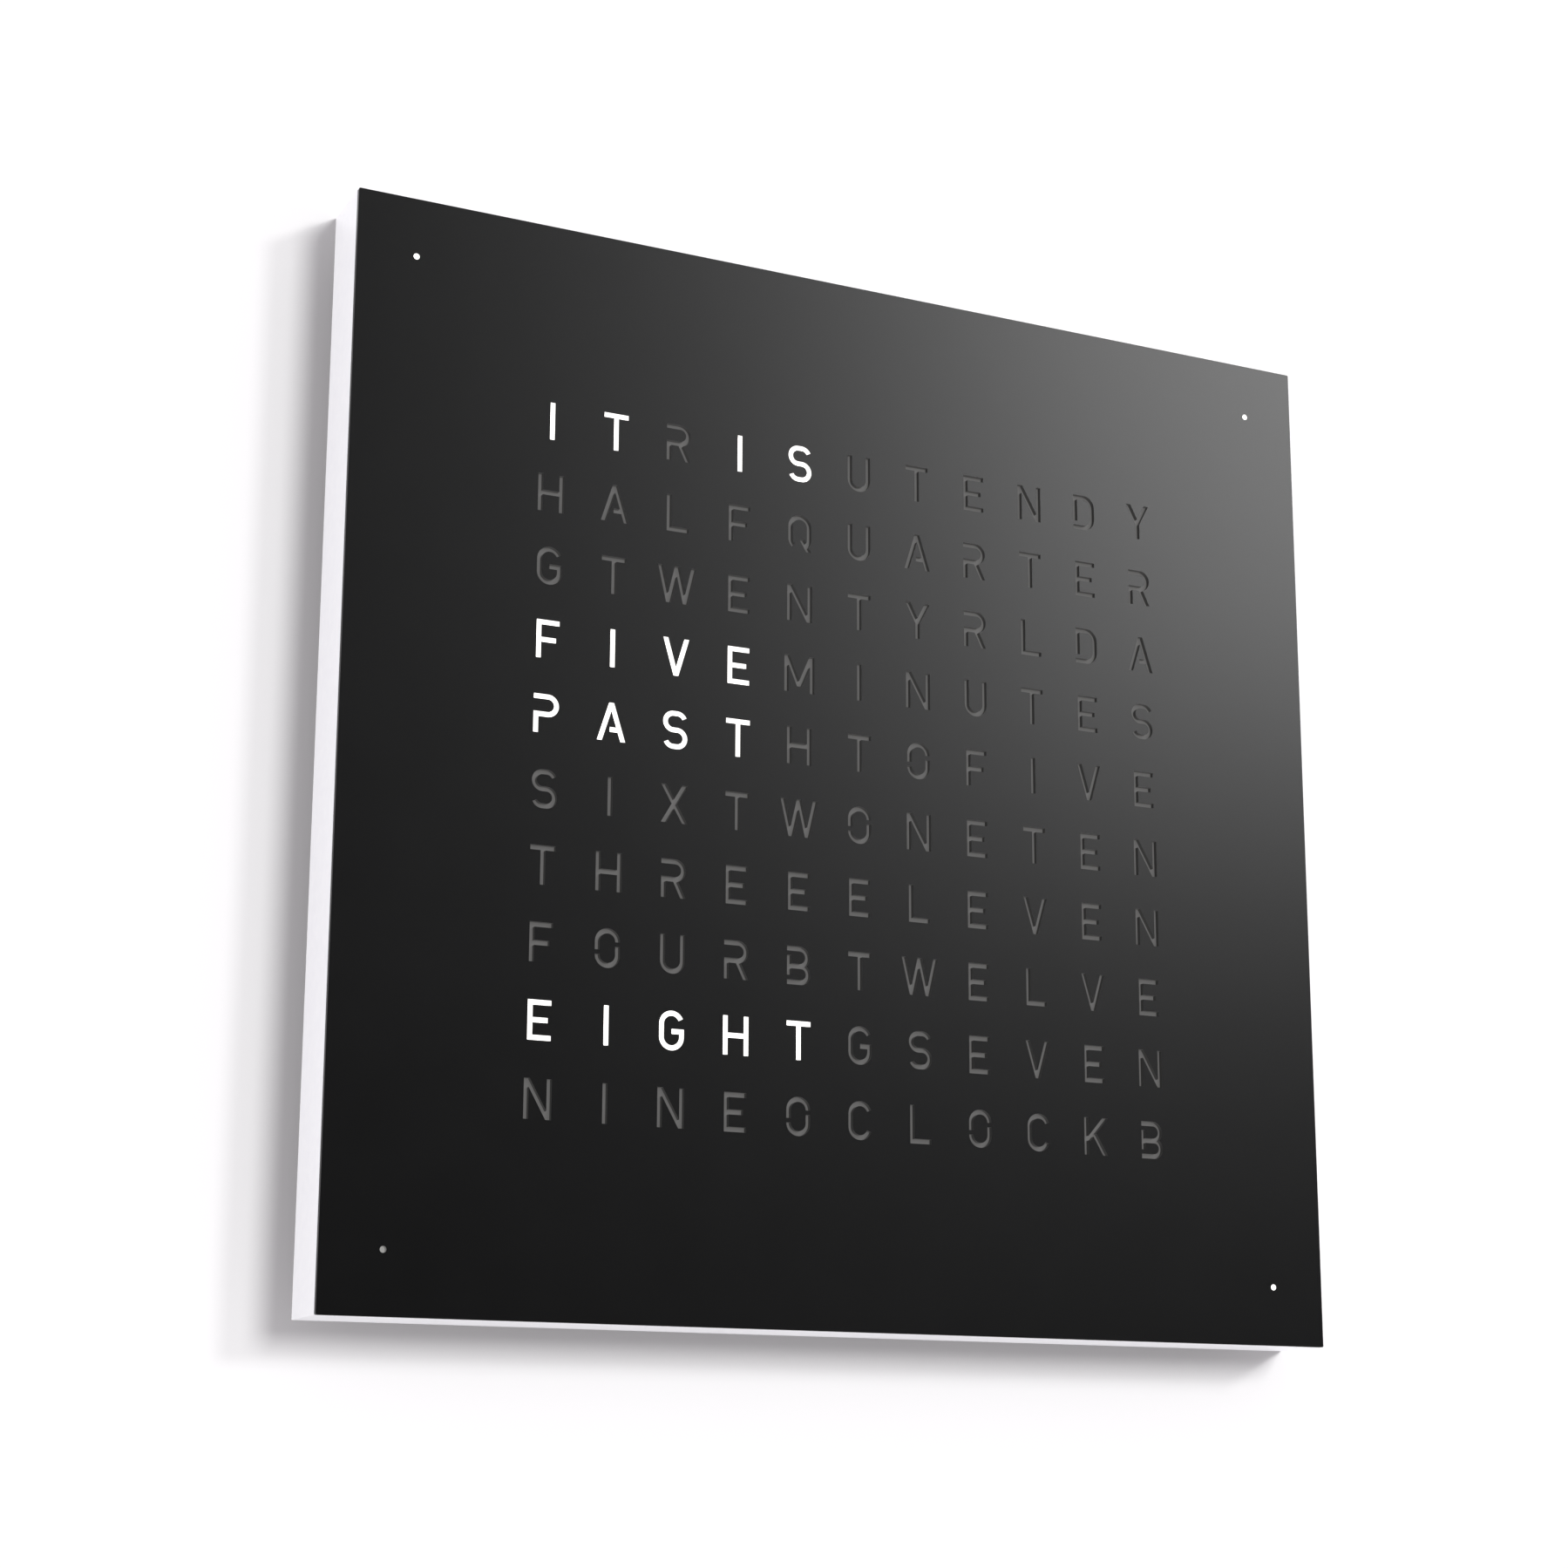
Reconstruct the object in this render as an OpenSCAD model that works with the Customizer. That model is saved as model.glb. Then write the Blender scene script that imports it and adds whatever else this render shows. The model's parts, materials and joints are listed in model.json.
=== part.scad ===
// Wall-hung word clock: a black steel cover with letters cut through it lies over a
// lit sheet, in a white case of four mitred rails with a flat rear panel.
// X runs to the right of the face, Z up, and the face looks along -Y. The origin is
// the centre of the rear face, which lies on the wall. Depths are measured from the
// wall plane towards the viewer, in millimetres.

/* [Case] */
// Width of the face
face_w = 450; // [375:5:600]
// Height of the face
face_h = 450; // [375:5:600]
// Thickness of the cover plate
cover_t = 2; // [1:0.1:3]
// Thickness of the rear panel
panel_t = 2; // [1.5:0.1:3]
// Free depth between the rear panel and the LED boards
bay_depth = 14.4; // [12:0.1:24]
// Width of the case's front rim beside the diffuser sheet
rim_w = 12; // [10:0.1:16]
// Width of the shoulder under the diffuser sheet's edge
diffuser_lap = 6; // [5:0.1:8]
// Width of the ledge that the boards and the rear panel are screwed to
ledge_w = 8; // [7:0.1:12]

/* [Light stack] */
// Thickness of the diffuser sheet
diffuser_t = 2; // [1.5:0.1:3]
// Depth of the light baffle
baffle_d = 10; // [7:0.1:14]
// Thickness of the circuit boards
board_t = 1.6; // [1:0.1:2.4]
// Wall between two cells of the baffle
cell_wall = 3; // [2:0.1:6]
// Radius of the baffle's round cell behind a minute dot
minute_cell_r = 5; // [3:0.1:5]

/* [Letters] */
// Distance between two columns of letters
pitch_x = 28; // [20:0.1:29]
// Distance between two rows of letters
pitch_z = 31; // [22:0.1:32]
// Height of a letter
cap_h = 16; // [12:0.1:19]
// Width of a letter's strokes
stroke_w = 2.05; // [1.6:0.05:2.8]
// Width of the bridges that hold the insides of the round letters
bridge_w = 1.8; // [1:0.1:2.4]
// Diameter of a minute dot
minute_d = 2.6; // [2:0.1:6]
// Distance from a minute dot to the two edges of the face beside it
minute_inset = 25; // [24:0.5:40]

/* [Buttons] */
// Radius of a button's barrel
button_r = 3; // [2:0.1:3.6]
// How far a button stands out of the side
button_proud = 0.8; // [0.6:0.1:2]
// How far a button can be pressed
button_travel = 0.5; // [0.2:0.05:0.6]
// Distance between two buttons
button_pitch = 20; // [14:0.5:24]
// Thickness of the side wall that the buttons pass through
side_wall_t = 7.5; // [5:0.1:9]

/* [Wall fixing] */
// Radius of a keyhole's round part, which a screw head passes
keyhole_r = 5; // [4:0.1:7]
// Width of a keyhole's slot, which holds the screw's neck
keyhole_slot = 5.2; // [4.2:0.1:6]
// Height from the round part's centre to the top seat of the slot
keyhole_rise = 12; // [9:0.5:16]
// Distance from a keyhole to the face's side and top edges
keyhole_inset = 75; // [60:1:100]

/* [Power inlet] */
// Width of the inlet well in the rear panel
well_w = 70; // [50:1:90]
// Height of the inlet well
well_h = 46; // [36:1:60]
// Radius of the plug's bore in the jack
jack_bore_r = 2.9; // [2.7:0.05:3.1]

/* [Fits] */
// Gap round the sheets in their pockets
sheet_gap = 0.4; // [0.2:0.05:1]
// Radial gap round screws, rivets and magnets
hole_gap = 0.1; // [0.05:0.05:0.3]
// Radial gap round a cover stud in its hole
stud_gap = 0.4; // [0.3:0.05:0.8]
// Radial gap round a button in the side wall
button_gap = 0.3; // [0.3:0.05:0.6]

/* [Hidden] */
$fn = 48;

// The words of the dial, row by row
ROWS = ["ITRISUTENDY",
    "HALFQUARTER",
    "GTWENTYRLDA",
    "FIVEMINUTES",
    "PASTHTOFIVE",
    "SIXTWONETEN",
    "THREEELEVEN",
    "FOURBTWELVE",
    "EIGHTGSEVEN",
    "NINEOCLOCKB"];
row_count = len(ROWS);
column_count = len(ROWS[0]);

// Depths of the layers' rear faces, and of the front
d_board = panel_t + bay_depth;
d_baffle = d_board + board_t;
d_diffuser = d_baffle + baffle_d;
d_rim = d_diffuser + diffuser_t;
d_front = d_rim + cover_t;

// Distances from the face's edge to the walls of the pockets, and to the screw lines
stack_inset = rim_w + diffuser_lap;
rail_w = stack_inset + ledge_w;
rim_line = rim_w / 2;
shoulder_line = rim_w + diffuser_lap / 2;
ledge_line = stack_inset + ledge_w / 2;
bay_w = face_w - 2 * rail_w;
bay_h = face_h - 2 * rail_w;

// The sheets and boards that lie in the rails' pocket
stack = [face_w - 2 * (stack_inset + sheet_gap), face_h - 2 * (stack_inset + sheet_gap)];

// Screws along the sides: the end ones' distance from the corner, and how many a side
ledge_end = 45;
shoulder_end = 35;
side_screws = 4;
screw_bite = 0.4 * bay_depth;
// A screw is [head radius, head height, shank radius, length]
baffle_screw = [2.8, 1.6, 1.5, baffle_d + board_t + screw_bite];
panel_screw = [2.8, 1.3, 1.5, panel_t + screw_bite];
diffuser_screw = [2.1, 1, 1.1, diffuser_t + 6];
bracket_screw = [2.8, 1.6, 1.5, 12];
control_screw = [2.4, 1.5, 1.25, 5];

magnet_r = 4;
magnet_t = 3;
magnet_end = 75;
stud_r = 2;
stud_len = 6;
stud_end = 35;

bracket_leg = 35;
bracket_t = 1.5;
bracket_h = 10;
bracket_line = panel_t + bay_depth / 2;
bracket_spots = [12, 27];

led = [5, 5, 1.6];
minute_led = [3.5, 3.5, 1.4];
driver = [7.8, 6.4, 1.2];
sensor = [2, 2, 0.8];
link_x = -2 * pitch_x;
link_z = 12;
link_header = [18, 6, 4];
ribbon_w = 14;
ribbon_t = 1;

// The inlet well, its flange inside the panel, and the jack in its top wall
well_z = 105 - face_h / 2;
well_wall = 1.5;
well_flange = 5;
well_clear = 2.6;
well_floor = d_board - well_clear - well_wall;
well_outer = [well_w + 2 * well_wall, well_h + 2 * well_wall];
jack = [10, 7.6, 13];
jack_nose_r = 3.6;
jack_d = panel_t + 0.2 + jack[1] / 2;
jack_bore_depth = 9.5;
jack_pin_r = 1.05;
jack_z = well_z + well_h / 2;
jack_top = jack_z + well_wall + jack[2];
lead_r = 0.7;
lead_bend = 1.8;
lead_side = 1.1;
lead_rise = 6;
lead_clear = 3.5;

// Vent slots [width, height], in one row above the jack and one row below the keyholes
vent = [3, 40];
vent_pitch = 8;
vent_count = 11;
vent_rows = [jack_top + 17.5 + vent[1] / 2, face_h / 2 - keyhole_inset - 60];

// The control board, beside the well on four standoffs
control = [80, 60];
control_x = well_w / 2 + well_wall + well_flange + 6 + control[0] / 2;
control_z = well_z;
standoff_h = 4;
standoff_r = 2.6;
standoff_inset = 4;
d_control = panel_t + standoff_h;
d_parts = d_control + board_t;
lead_d = d_parts + 1.4;
parts_h = d_board - driver[2] - 0.6 - d_parts;
header = [18, 6, 5];

// Parts on it: their places [x, z] from its middle, and their sizes [along X, along Z, height]
processor_spot = [-5, -3];
processor = [10, 10, 1.4];
crystal_spot = [-5, -16];
crystal = [11, 4.5, 3.5];
timekeeper_spot = [-5, -24];
timekeeper = [5, 6, 1.5];
regulator_spot = [-6, 14];
regulator = [10, 9, 4.4];
inductor_spot = [-22, 18];
inductor_r = 6;
capacitor_spots = [[-32, -2], [-32, -12], [-22, -7]];
capacitor_r = 4;
power_spot = [-35.5, 12];
power_block = [9, 8, 5];
cell_spot = [19, -13];
cell_r = 10;
cell_t = 3.2;
cell_gap = 0.3;
holder_floor = 1;
holder_wall = 1.5;

// The ribbon cable from the control board up to the lower LED board
ribbon_x = control_x + 10;
ribbon_z0 = control_z + control[1] / 2 - 1;
ribbon_z1 = ribbon_z0 + 23;

// The buttons, in a pocket of the right rail between two ledge screws
button_z = -2 / 3 * (face_h / 2 - ledge_end);
pocket_d = bay_depth - 2.4;
button_d = panel_t + pocket_d / 2;
pocket_x = face_w / 2 - side_wall_t;
collar_t = 1.2;
collar_r = button_r + 1.2;
plunger_r = 1.6;
plunger_dip = 1.8;
switch = [3.5, 6, 6];
switch_x = pocket_x - collar_t - button_travel - 0.4;
button_board_x = switch_x - switch[0];
button_board_half = button_pitch + 10;
button_board_gap = 0.6;
button_bevel = 0.4;
spacer_z = button_pitch + 7;
spacer_r = 2.2;
spacer_bite = 4;
spacer_screw = [2, 1.3, 1.1, board_t + pocket_x - button_board_x + spacer_bite];
spacer_hole_r = spacer_screw[2] + hole_gap;
flex_w = 8;
flex_t = 0.3;
flex_d = d_parts + 1.5;
socket = [5, 12, 3];

// ---- Helpers ----

// A plate drawn in X and Z, from depth d0 to depth d1
module slab(d0, d1) translate([0, -d0, 0]) rotate([90, 0, 0]) linear_extrude(d1 - d0) children();

// A rectangular plate that keeps a distance from the face's edge
module sheet(inset, d0, d1) slab(d0, d1) square([face_w - 2 * inset, face_h - 2 * inset], center = true);

// A block on the plane at depth d: its size is [along X, along Z, towards the viewer]
module block(x, z, d, size) slab(d, d + size[2]) translate([x, z]) square([size[0], size[1]], center = true);

// Places whose local +Z points at the viewer, into the wall, or to the right
module outward(x, z, d) translate([x, -d, z]) rotate([90, 0, 0]) children();
module inward(x, z, d) translate([x, -d, z]) rotate([-90, 0, 0]) children();
module rightward(x, z, d) translate([x, -d, z]) rotate([0, 90, 0]) children();

// The same thing at all four corners, drawn for the one at the upper right
module four_corners() for (x = [0, 1], z = [0, 1]) mirror([x, 0, 0]) mirror([0, 0, z]) children();

// Evenly spaced places along a side, the first and last a distance from its ends
function spread(length, end, n) =
    [for (i = [0:n - 1]) end - length / 2 + i * (length - 2 * end) / (n - 1)];

// Places [x, z] on a line beside side i: 0 bottom, 1 right, 2 top, 3 left
function side_spots(i, inset, end, n) =
    let (level = i % 2 == 0, s = i == 0 || i == 3 ? -1 : 1)
    [for (t = spread(level ? face_w : face_h, end, n))
        level ? [t, s * (face_h / 2 - inset)] : [s * (face_w / 2 - inset), t]];
function all_spots(inset, end, n) = [for (i = [0:3]) each side_spots(i, inset, end, n)];

function corner(inset, i) = [(i % 4 == 1 || i % 4 == 2 ? 1 : -1) * (face_w / 2 - inset),
    (i % 4 > 1 ? 1 : -1) * (face_h / 2 - inset)];

function cell_x(c) = (c - (column_count - 1) / 2) * pitch_x;
function cell_z(r) = ((row_count - 1) / 2 - r) * pitch_z;
cell = [pitch_x - cell_wall, pitch_z - cell_wall];
minute_spots = [for (x = [-1, 1], z = [-1, 1])
    [x * (face_w / 2 - minute_inset), z * (face_h / 2 - minute_inset)]];

// A countersunk screw along local +Z, its head's flat face at 0, with a hexagonal socket
module flat_screw(s) difference() {
    union() {
        cylinder(r1 = s[0], r2 = s[2], h = s[1]);
        cylinder(r = s[2], h = s[3]);
    }
    translate([0, 0, -1]) cylinder(r = s[2] * 0.8, h = 1.8, $fn = 6);
}

// The hole for a countersunk screw, or with head = false for its shank alone
module flat_hole(s, head = true) {
    translate([0, 0, -1]) cylinder(r = s[2] + hole_gap, h = s[3] + 1 + hole_gap);
    if (head) {
        cylinder(r1 = s[0] + hole_gap, r2 = s[2] + hole_gap, h = s[1]);
        translate([0, 0, -1]) cylinder(r = s[0] + hole_gap, h = 1);
    }
}

// A pan-head screw along local +Z, its shank starting at 0
module pan_screw(s) difference() {
    union() {
        translate([0, 0, -s[1]]) cylinder(r = s[0], h = s[1]);
        cylinder(r = s[2], h = s[3]);
    }
    translate([0, 0, -s[1] - 1]) cylinder(r = s[2] * 0.8, h = 1.9, $fn = 6);
}

// The hole for a pan-head screw's shank, open at its start
module pan_hole(s) translate([0, 0, -1]) cylinder(r = s[2] + hole_gap, h = s[3] + 1 + hole_gap);

// A wire that starts along local +Z and turns in the local XZ plane. Each step is
// [straight length, turn after it]: 1 right, -1 left, 0 none
module wire(steps, r, bend, i = 0) {
    cylinder(r = r, h = steps[i][0]);
    turn = steps[i][1];
    if (turn != 0) {
        translate([turn * bend, 0, steps[i][0]]) mirror([max(turn, 0), 0, 0]) rotate([90, 0, 0])
            rotate_extrude(angle = 90) translate([bend, 0]) circle(r = r);
        translate([turn * bend, 0, steps[i][0] + bend]) rotate([0, 90 * turn, 0]) wire(steps, r, bend, i + 1);
    }
}

// A flat cable of a given width across X, through points [depth, z]
module flat_cable(x, width, t, points) {
    outline = concat([for (p = points) [t / 2 - p[0], p[1]]],
        [for (i = [len(points) - 1:-1:0]) [-t / 2 - points[i][0], points[i][1]]]);
    translate([x - width / 2, 0, 0]) rotate([90, 0, 90]) linear_extrude(width) polygon(outline);
}

// ---- Letters, drawn from x = 0 at their middle and y = 0 at their foot ----

// A stroke with corners (x0, y0) and (x1, y1)
module bar(x0, y0, x1, y1) translate([x0, y0]) square([x1 - x0, y1 - y0]);

// An upright stroke whose middle is at x, and a level one whose middle is at y
module upright(x, y0, y1) bar(x - stroke_w / 2, y0, x + stroke_w / 2, y1);
module level(x0, x1, y) bar(x0, y - stroke_w / 2, x1, y + stroke_w / 2);

// A slanted stroke whose middle runs from (x0, y0) up to (x1, y1), cut level at its ends
module slant(x0, y0, x1, y1) {
    half = stroke_w / 2 * norm([x1 - x0, y1 - y0]) / (y1 - y0);
    polygon([[x0 - half, y0], [x0 + half, y0], [x1 + half, y1], [x1 - half, y1]]);
}

// A curved stroke round (x, y) from angle a0 to angle a1, with r the radius of its middle
module bow(x, y, r, a0, a1) {
    reach = 1.6 * (r + stroke_w / 2);
    fan = [for (i = [0:4]) let (a = a0 + (a1 - a0) * i / 4) reach * [cos(a), sin(a)]];
    translate([x, y]) intersection() {
        difference() {
            circle(r = r + stroke_w / 2);
            circle(r = r - stroke_w / 2);
        }
        polygon(concat([[0, 0]], fan));
    }
}

// Widths of the letters, as shares of their height
WIDE = [["A", 0.77], ["M", 0.87], ["W", 1.07], ["H", 0.7], ["K", 0.71], ["N", 0.72], ["V", 0.72],
    ["X", 0.72], ["Y", 0.72], ["E", 0.61], ["F", 0.61], ["L", 0.62], ["B", 0.66]];
function letter_w(c) = let (i = search([c], WIDE)[0]) cap_h * (is_num(i) ? WIDE[i][1] : 0.67);

module letter(c) {
    h = cap_h;
    s = stroke_w;
    a = letter_w(c) / 2;
    m = a - s / 2;
    foot = a - 0.53 * s;
    mid = 0.48 * h;
    top_r = (h - s / 2 - mid) / 2;
    s_r = (h - s) / 4;
    s_x = m - s_r;

    if (c == "A") {
        for (x = [-1, 1]) slant(x * foot, 0, 0, h);
        level(bridge_w + 0.53 * s - 0.7 * foot, 0.7 * foot, 0.3 * h);
    }
    if (c == "B") {
        low_r = (mid - s / 2) / 2;
        upright(-m, s + bridge_w, h - s - bridge_w);
        level(-a, m - top_r - 0.3, h - s / 2);
        level(-a, m - low_r, mid);
        level(-a, m - low_r, s / 2);
        bow(m - top_r - 0.3, mid + top_r, top_r, -90, 90);
        bow(m - low_r, mid - low_r, low_r, -90, 90);
    }
    if (c == "C") {
        bow(0, h - a, m, 20, 180);
        upright(-m, a, h - a);
        bow(0, a, m, 180, 340);
    }
    if (c == "D") {
        upright(-m, s + bridge_w, h);
        level(-a, 0, h - s / 2);
        bow(0, h - a, m, 0, 90);
        upright(m, a, h - a);
        bow(0, a, m, -90, 0);
        level(-a, 0, s / 2);
    }
    if (c == "E" || c == "F") {
        upright(-m, 0, h);
        level(-a, a, h - s / 2);
        level(-a, 0.72 * a, c == "E" ? h / 2 : mid);
        if (c == "E") level(-a, a, s / 2);
    }
    if (c == "G") {
        bow(0, h - a, m, 25, 180);
        upright(-m, a, h - a);
        bow(0, a, m, 180, 360);
        upright(m, a, mid);
        level(0, a, mid);
    }
    if (c == "H") {
        for (x = [-m, m]) upright(x, 0, h);
        level(-m, m, h / 2);
    }
    if (c == "I") upright(0, 0, h);
    if (c == "K") {
        upright(-m, 0, h);
        slant(0.3 * s - m, 0.38 * h, foot, h);
        slant(foot, 0, -0.12 * a, 0.56 * h);
    }
    if (c == "L") {
        upright(-m, 0, h);
        level(-a, a, s / 2);
    }
    if (c == "M") {
        for (x = [-1, 1]) {
            upright(x * m, 0, h);
            slant(0, 0.16 * h, x * (m - 0.1 * s), h);
        }
    }
    if (c == "N") {
        for (x = [-m, m]) upright(x, 0, h);
        slant(m - 0.1 * s, 0, 0.1 * s - m, h);
    }
    if (c == "O") {
        bow(0, h - a, m, 0, 180);
        upright(m, a, h - a - bridge_w);
        upright(-m, a + bridge_w, h - a);
        bow(0, a, m, 180, 360);
    }
    if (c == "P" || c == "R") {
        upright(-m, 0, mid);
        level(-a, m - top_r, mid);
        level(-a, m - top_r, h - s / 2);
        bow(m - top_r, mid + top_r, top_r, -90, 90);
        if (c == "R") slant(foot, 0, 0.1 * a, mid);
    }
    if (c == "Q") {
        bow(0, h - a, m, 0, 180);
        for (x = [-m, m]) upright(x, a, h - a);
        bow(0, a, m, 180, 225);
        bow(0, a, m, 315, 360);
        slant(foot, 0, 0.15 * a, 0.34 * h);
    }
    if (c == "S") {
        bow(s_x, h - s / 2 - s_r, s_r, 25, 90);
        for (y = [s / 2, h / 2, h - s / 2]) level(-s_x, s_x, y);
        bow(-s_x, h - s / 2 - s_r, s_r, 90, 270);
        bow(s_x, s / 2 + s_r, s_r, -90, 90);
        bow(-s_x, s / 2 + s_r, s_r, 205, 270);
    }
    if (c == "T") {
        upright(0, 0, h);
        level(-a, a, h - s / 2);
    }
    if (c == "U") {
        for (x = [-m, m]) upright(x, a, h);
        bow(0, a, m, 180, 360);
    }
    if (c == "V") for (x = [-foot, foot]) slant(0, 0, x, h);
    if (c == "W") for (x = [-1, 1]) {
        slant(x * foot / 2, 0, x * foot, h);
        slant(x * foot / 2, 0, 0, h);
    }
    if (c == "X") for (x = [-foot, foot]) slant(-x, 0, x, h);
    if (c == "Y") {
        upright(0, 0, 0.46 * h);
        for (x = [-foot, foot]) slant(0, 0.44 * h, x, h);
    }
}

// ---- Cover ----

module front_cover() color("#1d1d1e") slab(d_rim, d_front) difference() {
    square([face_w, face_h], center = true);
    for (r = [0:row_count - 1], c = [0:column_count - 1])
        translate([cell_x(c), cell_z(r) - cap_h / 2]) letter(ROWS[r][c]);
    for (p = minute_spots) translate(p) circle(d = minute_d);
}

stud_spots = concat(side_spots(0, rim_line, stud_end, 2), side_spots(2, rim_line, stud_end, 2));

module cover_studs() color("silver") for (p = stud_spots) inward(p[0], p[1], d_rim) {
    cylinder(r = stud_r, h = stud_len - 1);
    translate([0, 0, stud_len - 1]) cylinder(r1 = stud_r, r2 = stud_r - 0.8, h = 1);
}

// ---- Case ----

// One side of the case, mitred at both ends, with the pockets that the layers lie in
module rail(i) difference() {
    slab(0, d_rim) polygon([corner(0, i), corner(0, i + 1), corner(rail_w, i + 1), corner(rail_w, i)]);
    sheet(stack_inset, -1, panel_t);
    sheet(stack_inset, d_board, d_rim + 1);
    sheet(rim_w, d_diffuser, d_rim + 1);
    for (p = side_spots(i, ledge_line, ledge_end, side_screws)) {
        inward(p[0], p[1], d_diffuser) flat_hole(baffle_screw, head = false);
        outward(p[0], p[1], 0) flat_hole(panel_screw, head = false);
    }
    for (p = side_spots(i, shoulder_line, shoulder_end, side_screws))
        inward(p[0], p[1], d_rim) flat_hole(diffuser_screw, head = false);
    for (p = side_spots(i, rim_line, magnet_end, 3))
        outward(p[0], p[1], d_rim - magnet_t) cylinder(r = magnet_r + hole_gap, h = magnet_t + 1);
    if (i % 2 == 0) for (p = side_spots(i, rim_line, stud_end, 2))
        outward(p[0], p[1], d_rim - stud_len - 1) cylinder(r = stud_r + stud_gap, h = stud_len + 2);
    four_corners() bracket_holes(i);
}

// The bracket screws' holes in one corner, on the level rails or the upright ones
module bracket_holes(i) for (t = bracket_spots) {
    if (i % 2 == 0) translate([bay_w / 2 - t, -bracket_line, bay_h / 2]) pan_hole(bracket_screw);
    if (i % 2 == 1) rightward(bay_w / 2, bay_h / 2 - t, bracket_line) pan_hole(bracket_screw);
}

module bottom_rail() color("white") rail(0);
module top_rail() color("white") rail(2);
module left_rail() color("white") rail(3);

button_zs = [for (i = [1, 0, -1]) button_z + i * button_pitch];

module right_rail() color("white") difference() {
    rail(1);
    slab(panel_t, panel_t + pocket_d)
        translate([bay_w / 2 - 1, button_z - button_board_half - 1])
        square([pocket_x - bay_w / 2 + 1, 2 * button_board_half + 2]);
    for (z = button_zs)
        rightward(pocket_x - 1, z, button_d) cylinder(r = button_r + button_gap, h = side_wall_t + 2);
    for (z = [-spacer_z, spacer_z]) rightward(pocket_x, button_z + z, button_d)
        translate([0, 0, -1]) cylinder(r = spacer_hole_r, h = 1 + spacer_bite + hole_gap);
}

module corner_brackets() color("silver") four_corners() difference() {
    slab(bracket_line - bracket_h / 2, bracket_line + bracket_h / 2) translate([bay_w / 2, bay_h / 2]) {
        translate([-bracket_leg, -bracket_t]) square([bracket_leg, bracket_t]);
        translate([-bracket_t, -bracket_leg]) square([bracket_t, bracket_leg]);
    }
    for (i = [0, 1]) translate(-bracket_t * (i == 0 ? [0, 0, 1] : [1, 0, 0])) bracket_holes(i);
}

module bracket_screws() color("gainsboro") four_corners() for (t = bracket_spots) {
    translate([bay_w / 2 - t, -bracket_line, bay_h / 2 - bracket_t]) pan_screw(bracket_screw);
    rightward(bay_w / 2 - bracket_t, bay_h / 2 - t, bracket_line) pan_screw(bracket_screw);
}

module cover_magnets() color("lightgray") for (p = all_spots(rim_line, magnet_end, 3))
    outward(p[0], p[1], d_rim - magnet_t) cylinder(r = magnet_r, h = magnet_t);

// ---- Light stack ----

module diffuser_sheet() color("#6a6a6c") difference() {
    sheet(rim_w + sheet_gap, d_diffuser, d_rim);
    for (p = all_spots(shoulder_line, shoulder_end, side_screws))
        inward(p[0], p[1], d_rim) flat_hole(diffuser_screw);
}

module diffuser_screws() color("silver") for (p = all_spots(shoulder_line, shoulder_end, side_screws))
    inward(p[0], p[1], d_rim) flat_screw(diffuser_screw);

module light_baffle() color("whitesmoke") difference() {
    slab(d_baffle, d_diffuser) difference() {
        square(stack, center = true);
        for (r = [0:row_count - 1], c = [0:column_count - 1])
            translate([cell_x(c), cell_z(r)]) square(cell, center = true);
        for (p = minute_spots) translate(p) circle(r = minute_cell_r);
    }
    for (p = ledge_spots) inward(p[0], p[1], d_diffuser) flat_hole(baffle_screw);
}

ledge_spots = all_spots(ledge_line, ledge_end, side_screws);

module baffle_screws() color("silver") for (p = ledge_spots)
    inward(p[0], p[1], d_diffuser) flat_screw(baffle_screw);

// One half of the LED board: side 1 is the upper half, side -1 the lower
module led_board(side) slab(d_board, d_baffle) difference() {
    translate([0, side * (face_h / 2 - stack_inset) / 2])
        square([stack[0], stack[1] / 2 - sheet_gap], center = true);
    for (p = ledge_spots) translate(p) circle(r = baffle_screw[2] + hole_gap);
}

module upper_led_board() color("darkgreen") led_board(1);
module lower_led_board() color("darkgreen") led_board(-1);

module letter_leds() color("lightyellow") for (r = [0:row_count - 1], c = [0:column_count - 1])
    block(cell_x(c), cell_z(r), d_baffle, led);

module minute_leds() color("lightyellow") for (p = minute_spots) block(p[0], p[1], d_baffle, minute_led);

module led_drivers() color("#2b2b2b") for (r = [0:row_count - 1])
    block(0, cell_z(r), d_board - driver[2], driver);

// The sensor shares the last letter's cell, so it reads the room's light through the cover
module light_sensor() color("black")
    block(cell_x(column_count - 1) + pitch_x / 4, cell_z(row_count - 1) - pitch_z / 4, d_baffle, sensor);

module board_link_headers() color("ivory") for (z = [-link_z, link_z])
    block(link_x, z, d_board - link_header[2], link_header);

module board_link_cable() color("lightgray") flat_cable(link_x, ribbon_w, ribbon_t,
    [for (z = [-1, 1]) [d_board - link_header[2] / 2, z * (link_z - link_header[1] / 2)]]);

// ---- Rear panel, wall fixing and power inlet ----

module keyhole() {
    circle(r = keyhole_r);
    translate([-keyhole_slot / 2, 0]) square([keyhole_slot, keyhole_rise]);
    translate([0, keyhole_rise]) circle(d = keyhole_slot);
}

keyhole_spots = [for (x = [-1, 1]) [x * (face_w / 2 - keyhole_inset), face_h / 2 - keyhole_inset]];
keyhole_plate = [36, keyhole_rise + 30, 1.5];
keyhole_rivet_spots = [for (p = keyhole_spots, x = [-1, 1], z = [-1, 1])
    [p[0] + x * (keyhole_plate[0] / 2 - 5), p[1] + keyhole_rise / 2 + z * (keyhole_plate[1] / 2 - 5)]];
well_rivet_spots = [for (x = [-1, 1], z = [-1, 1])
    [x * (well_w / 2 + well_wall + well_flange / 2), well_z + z * (well_h / 2 - 6)]];
rivet_r = 1.2;
rivet_head = [2.2, 1];

module vent_slot() {
    square([vent[0], vent[1] - vent[0]], center = true);
    for (z = [-1, 1]) translate([0, z * (vent[1] - vent[0]) / 2]) circle(d = vent[0]);
}

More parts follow.
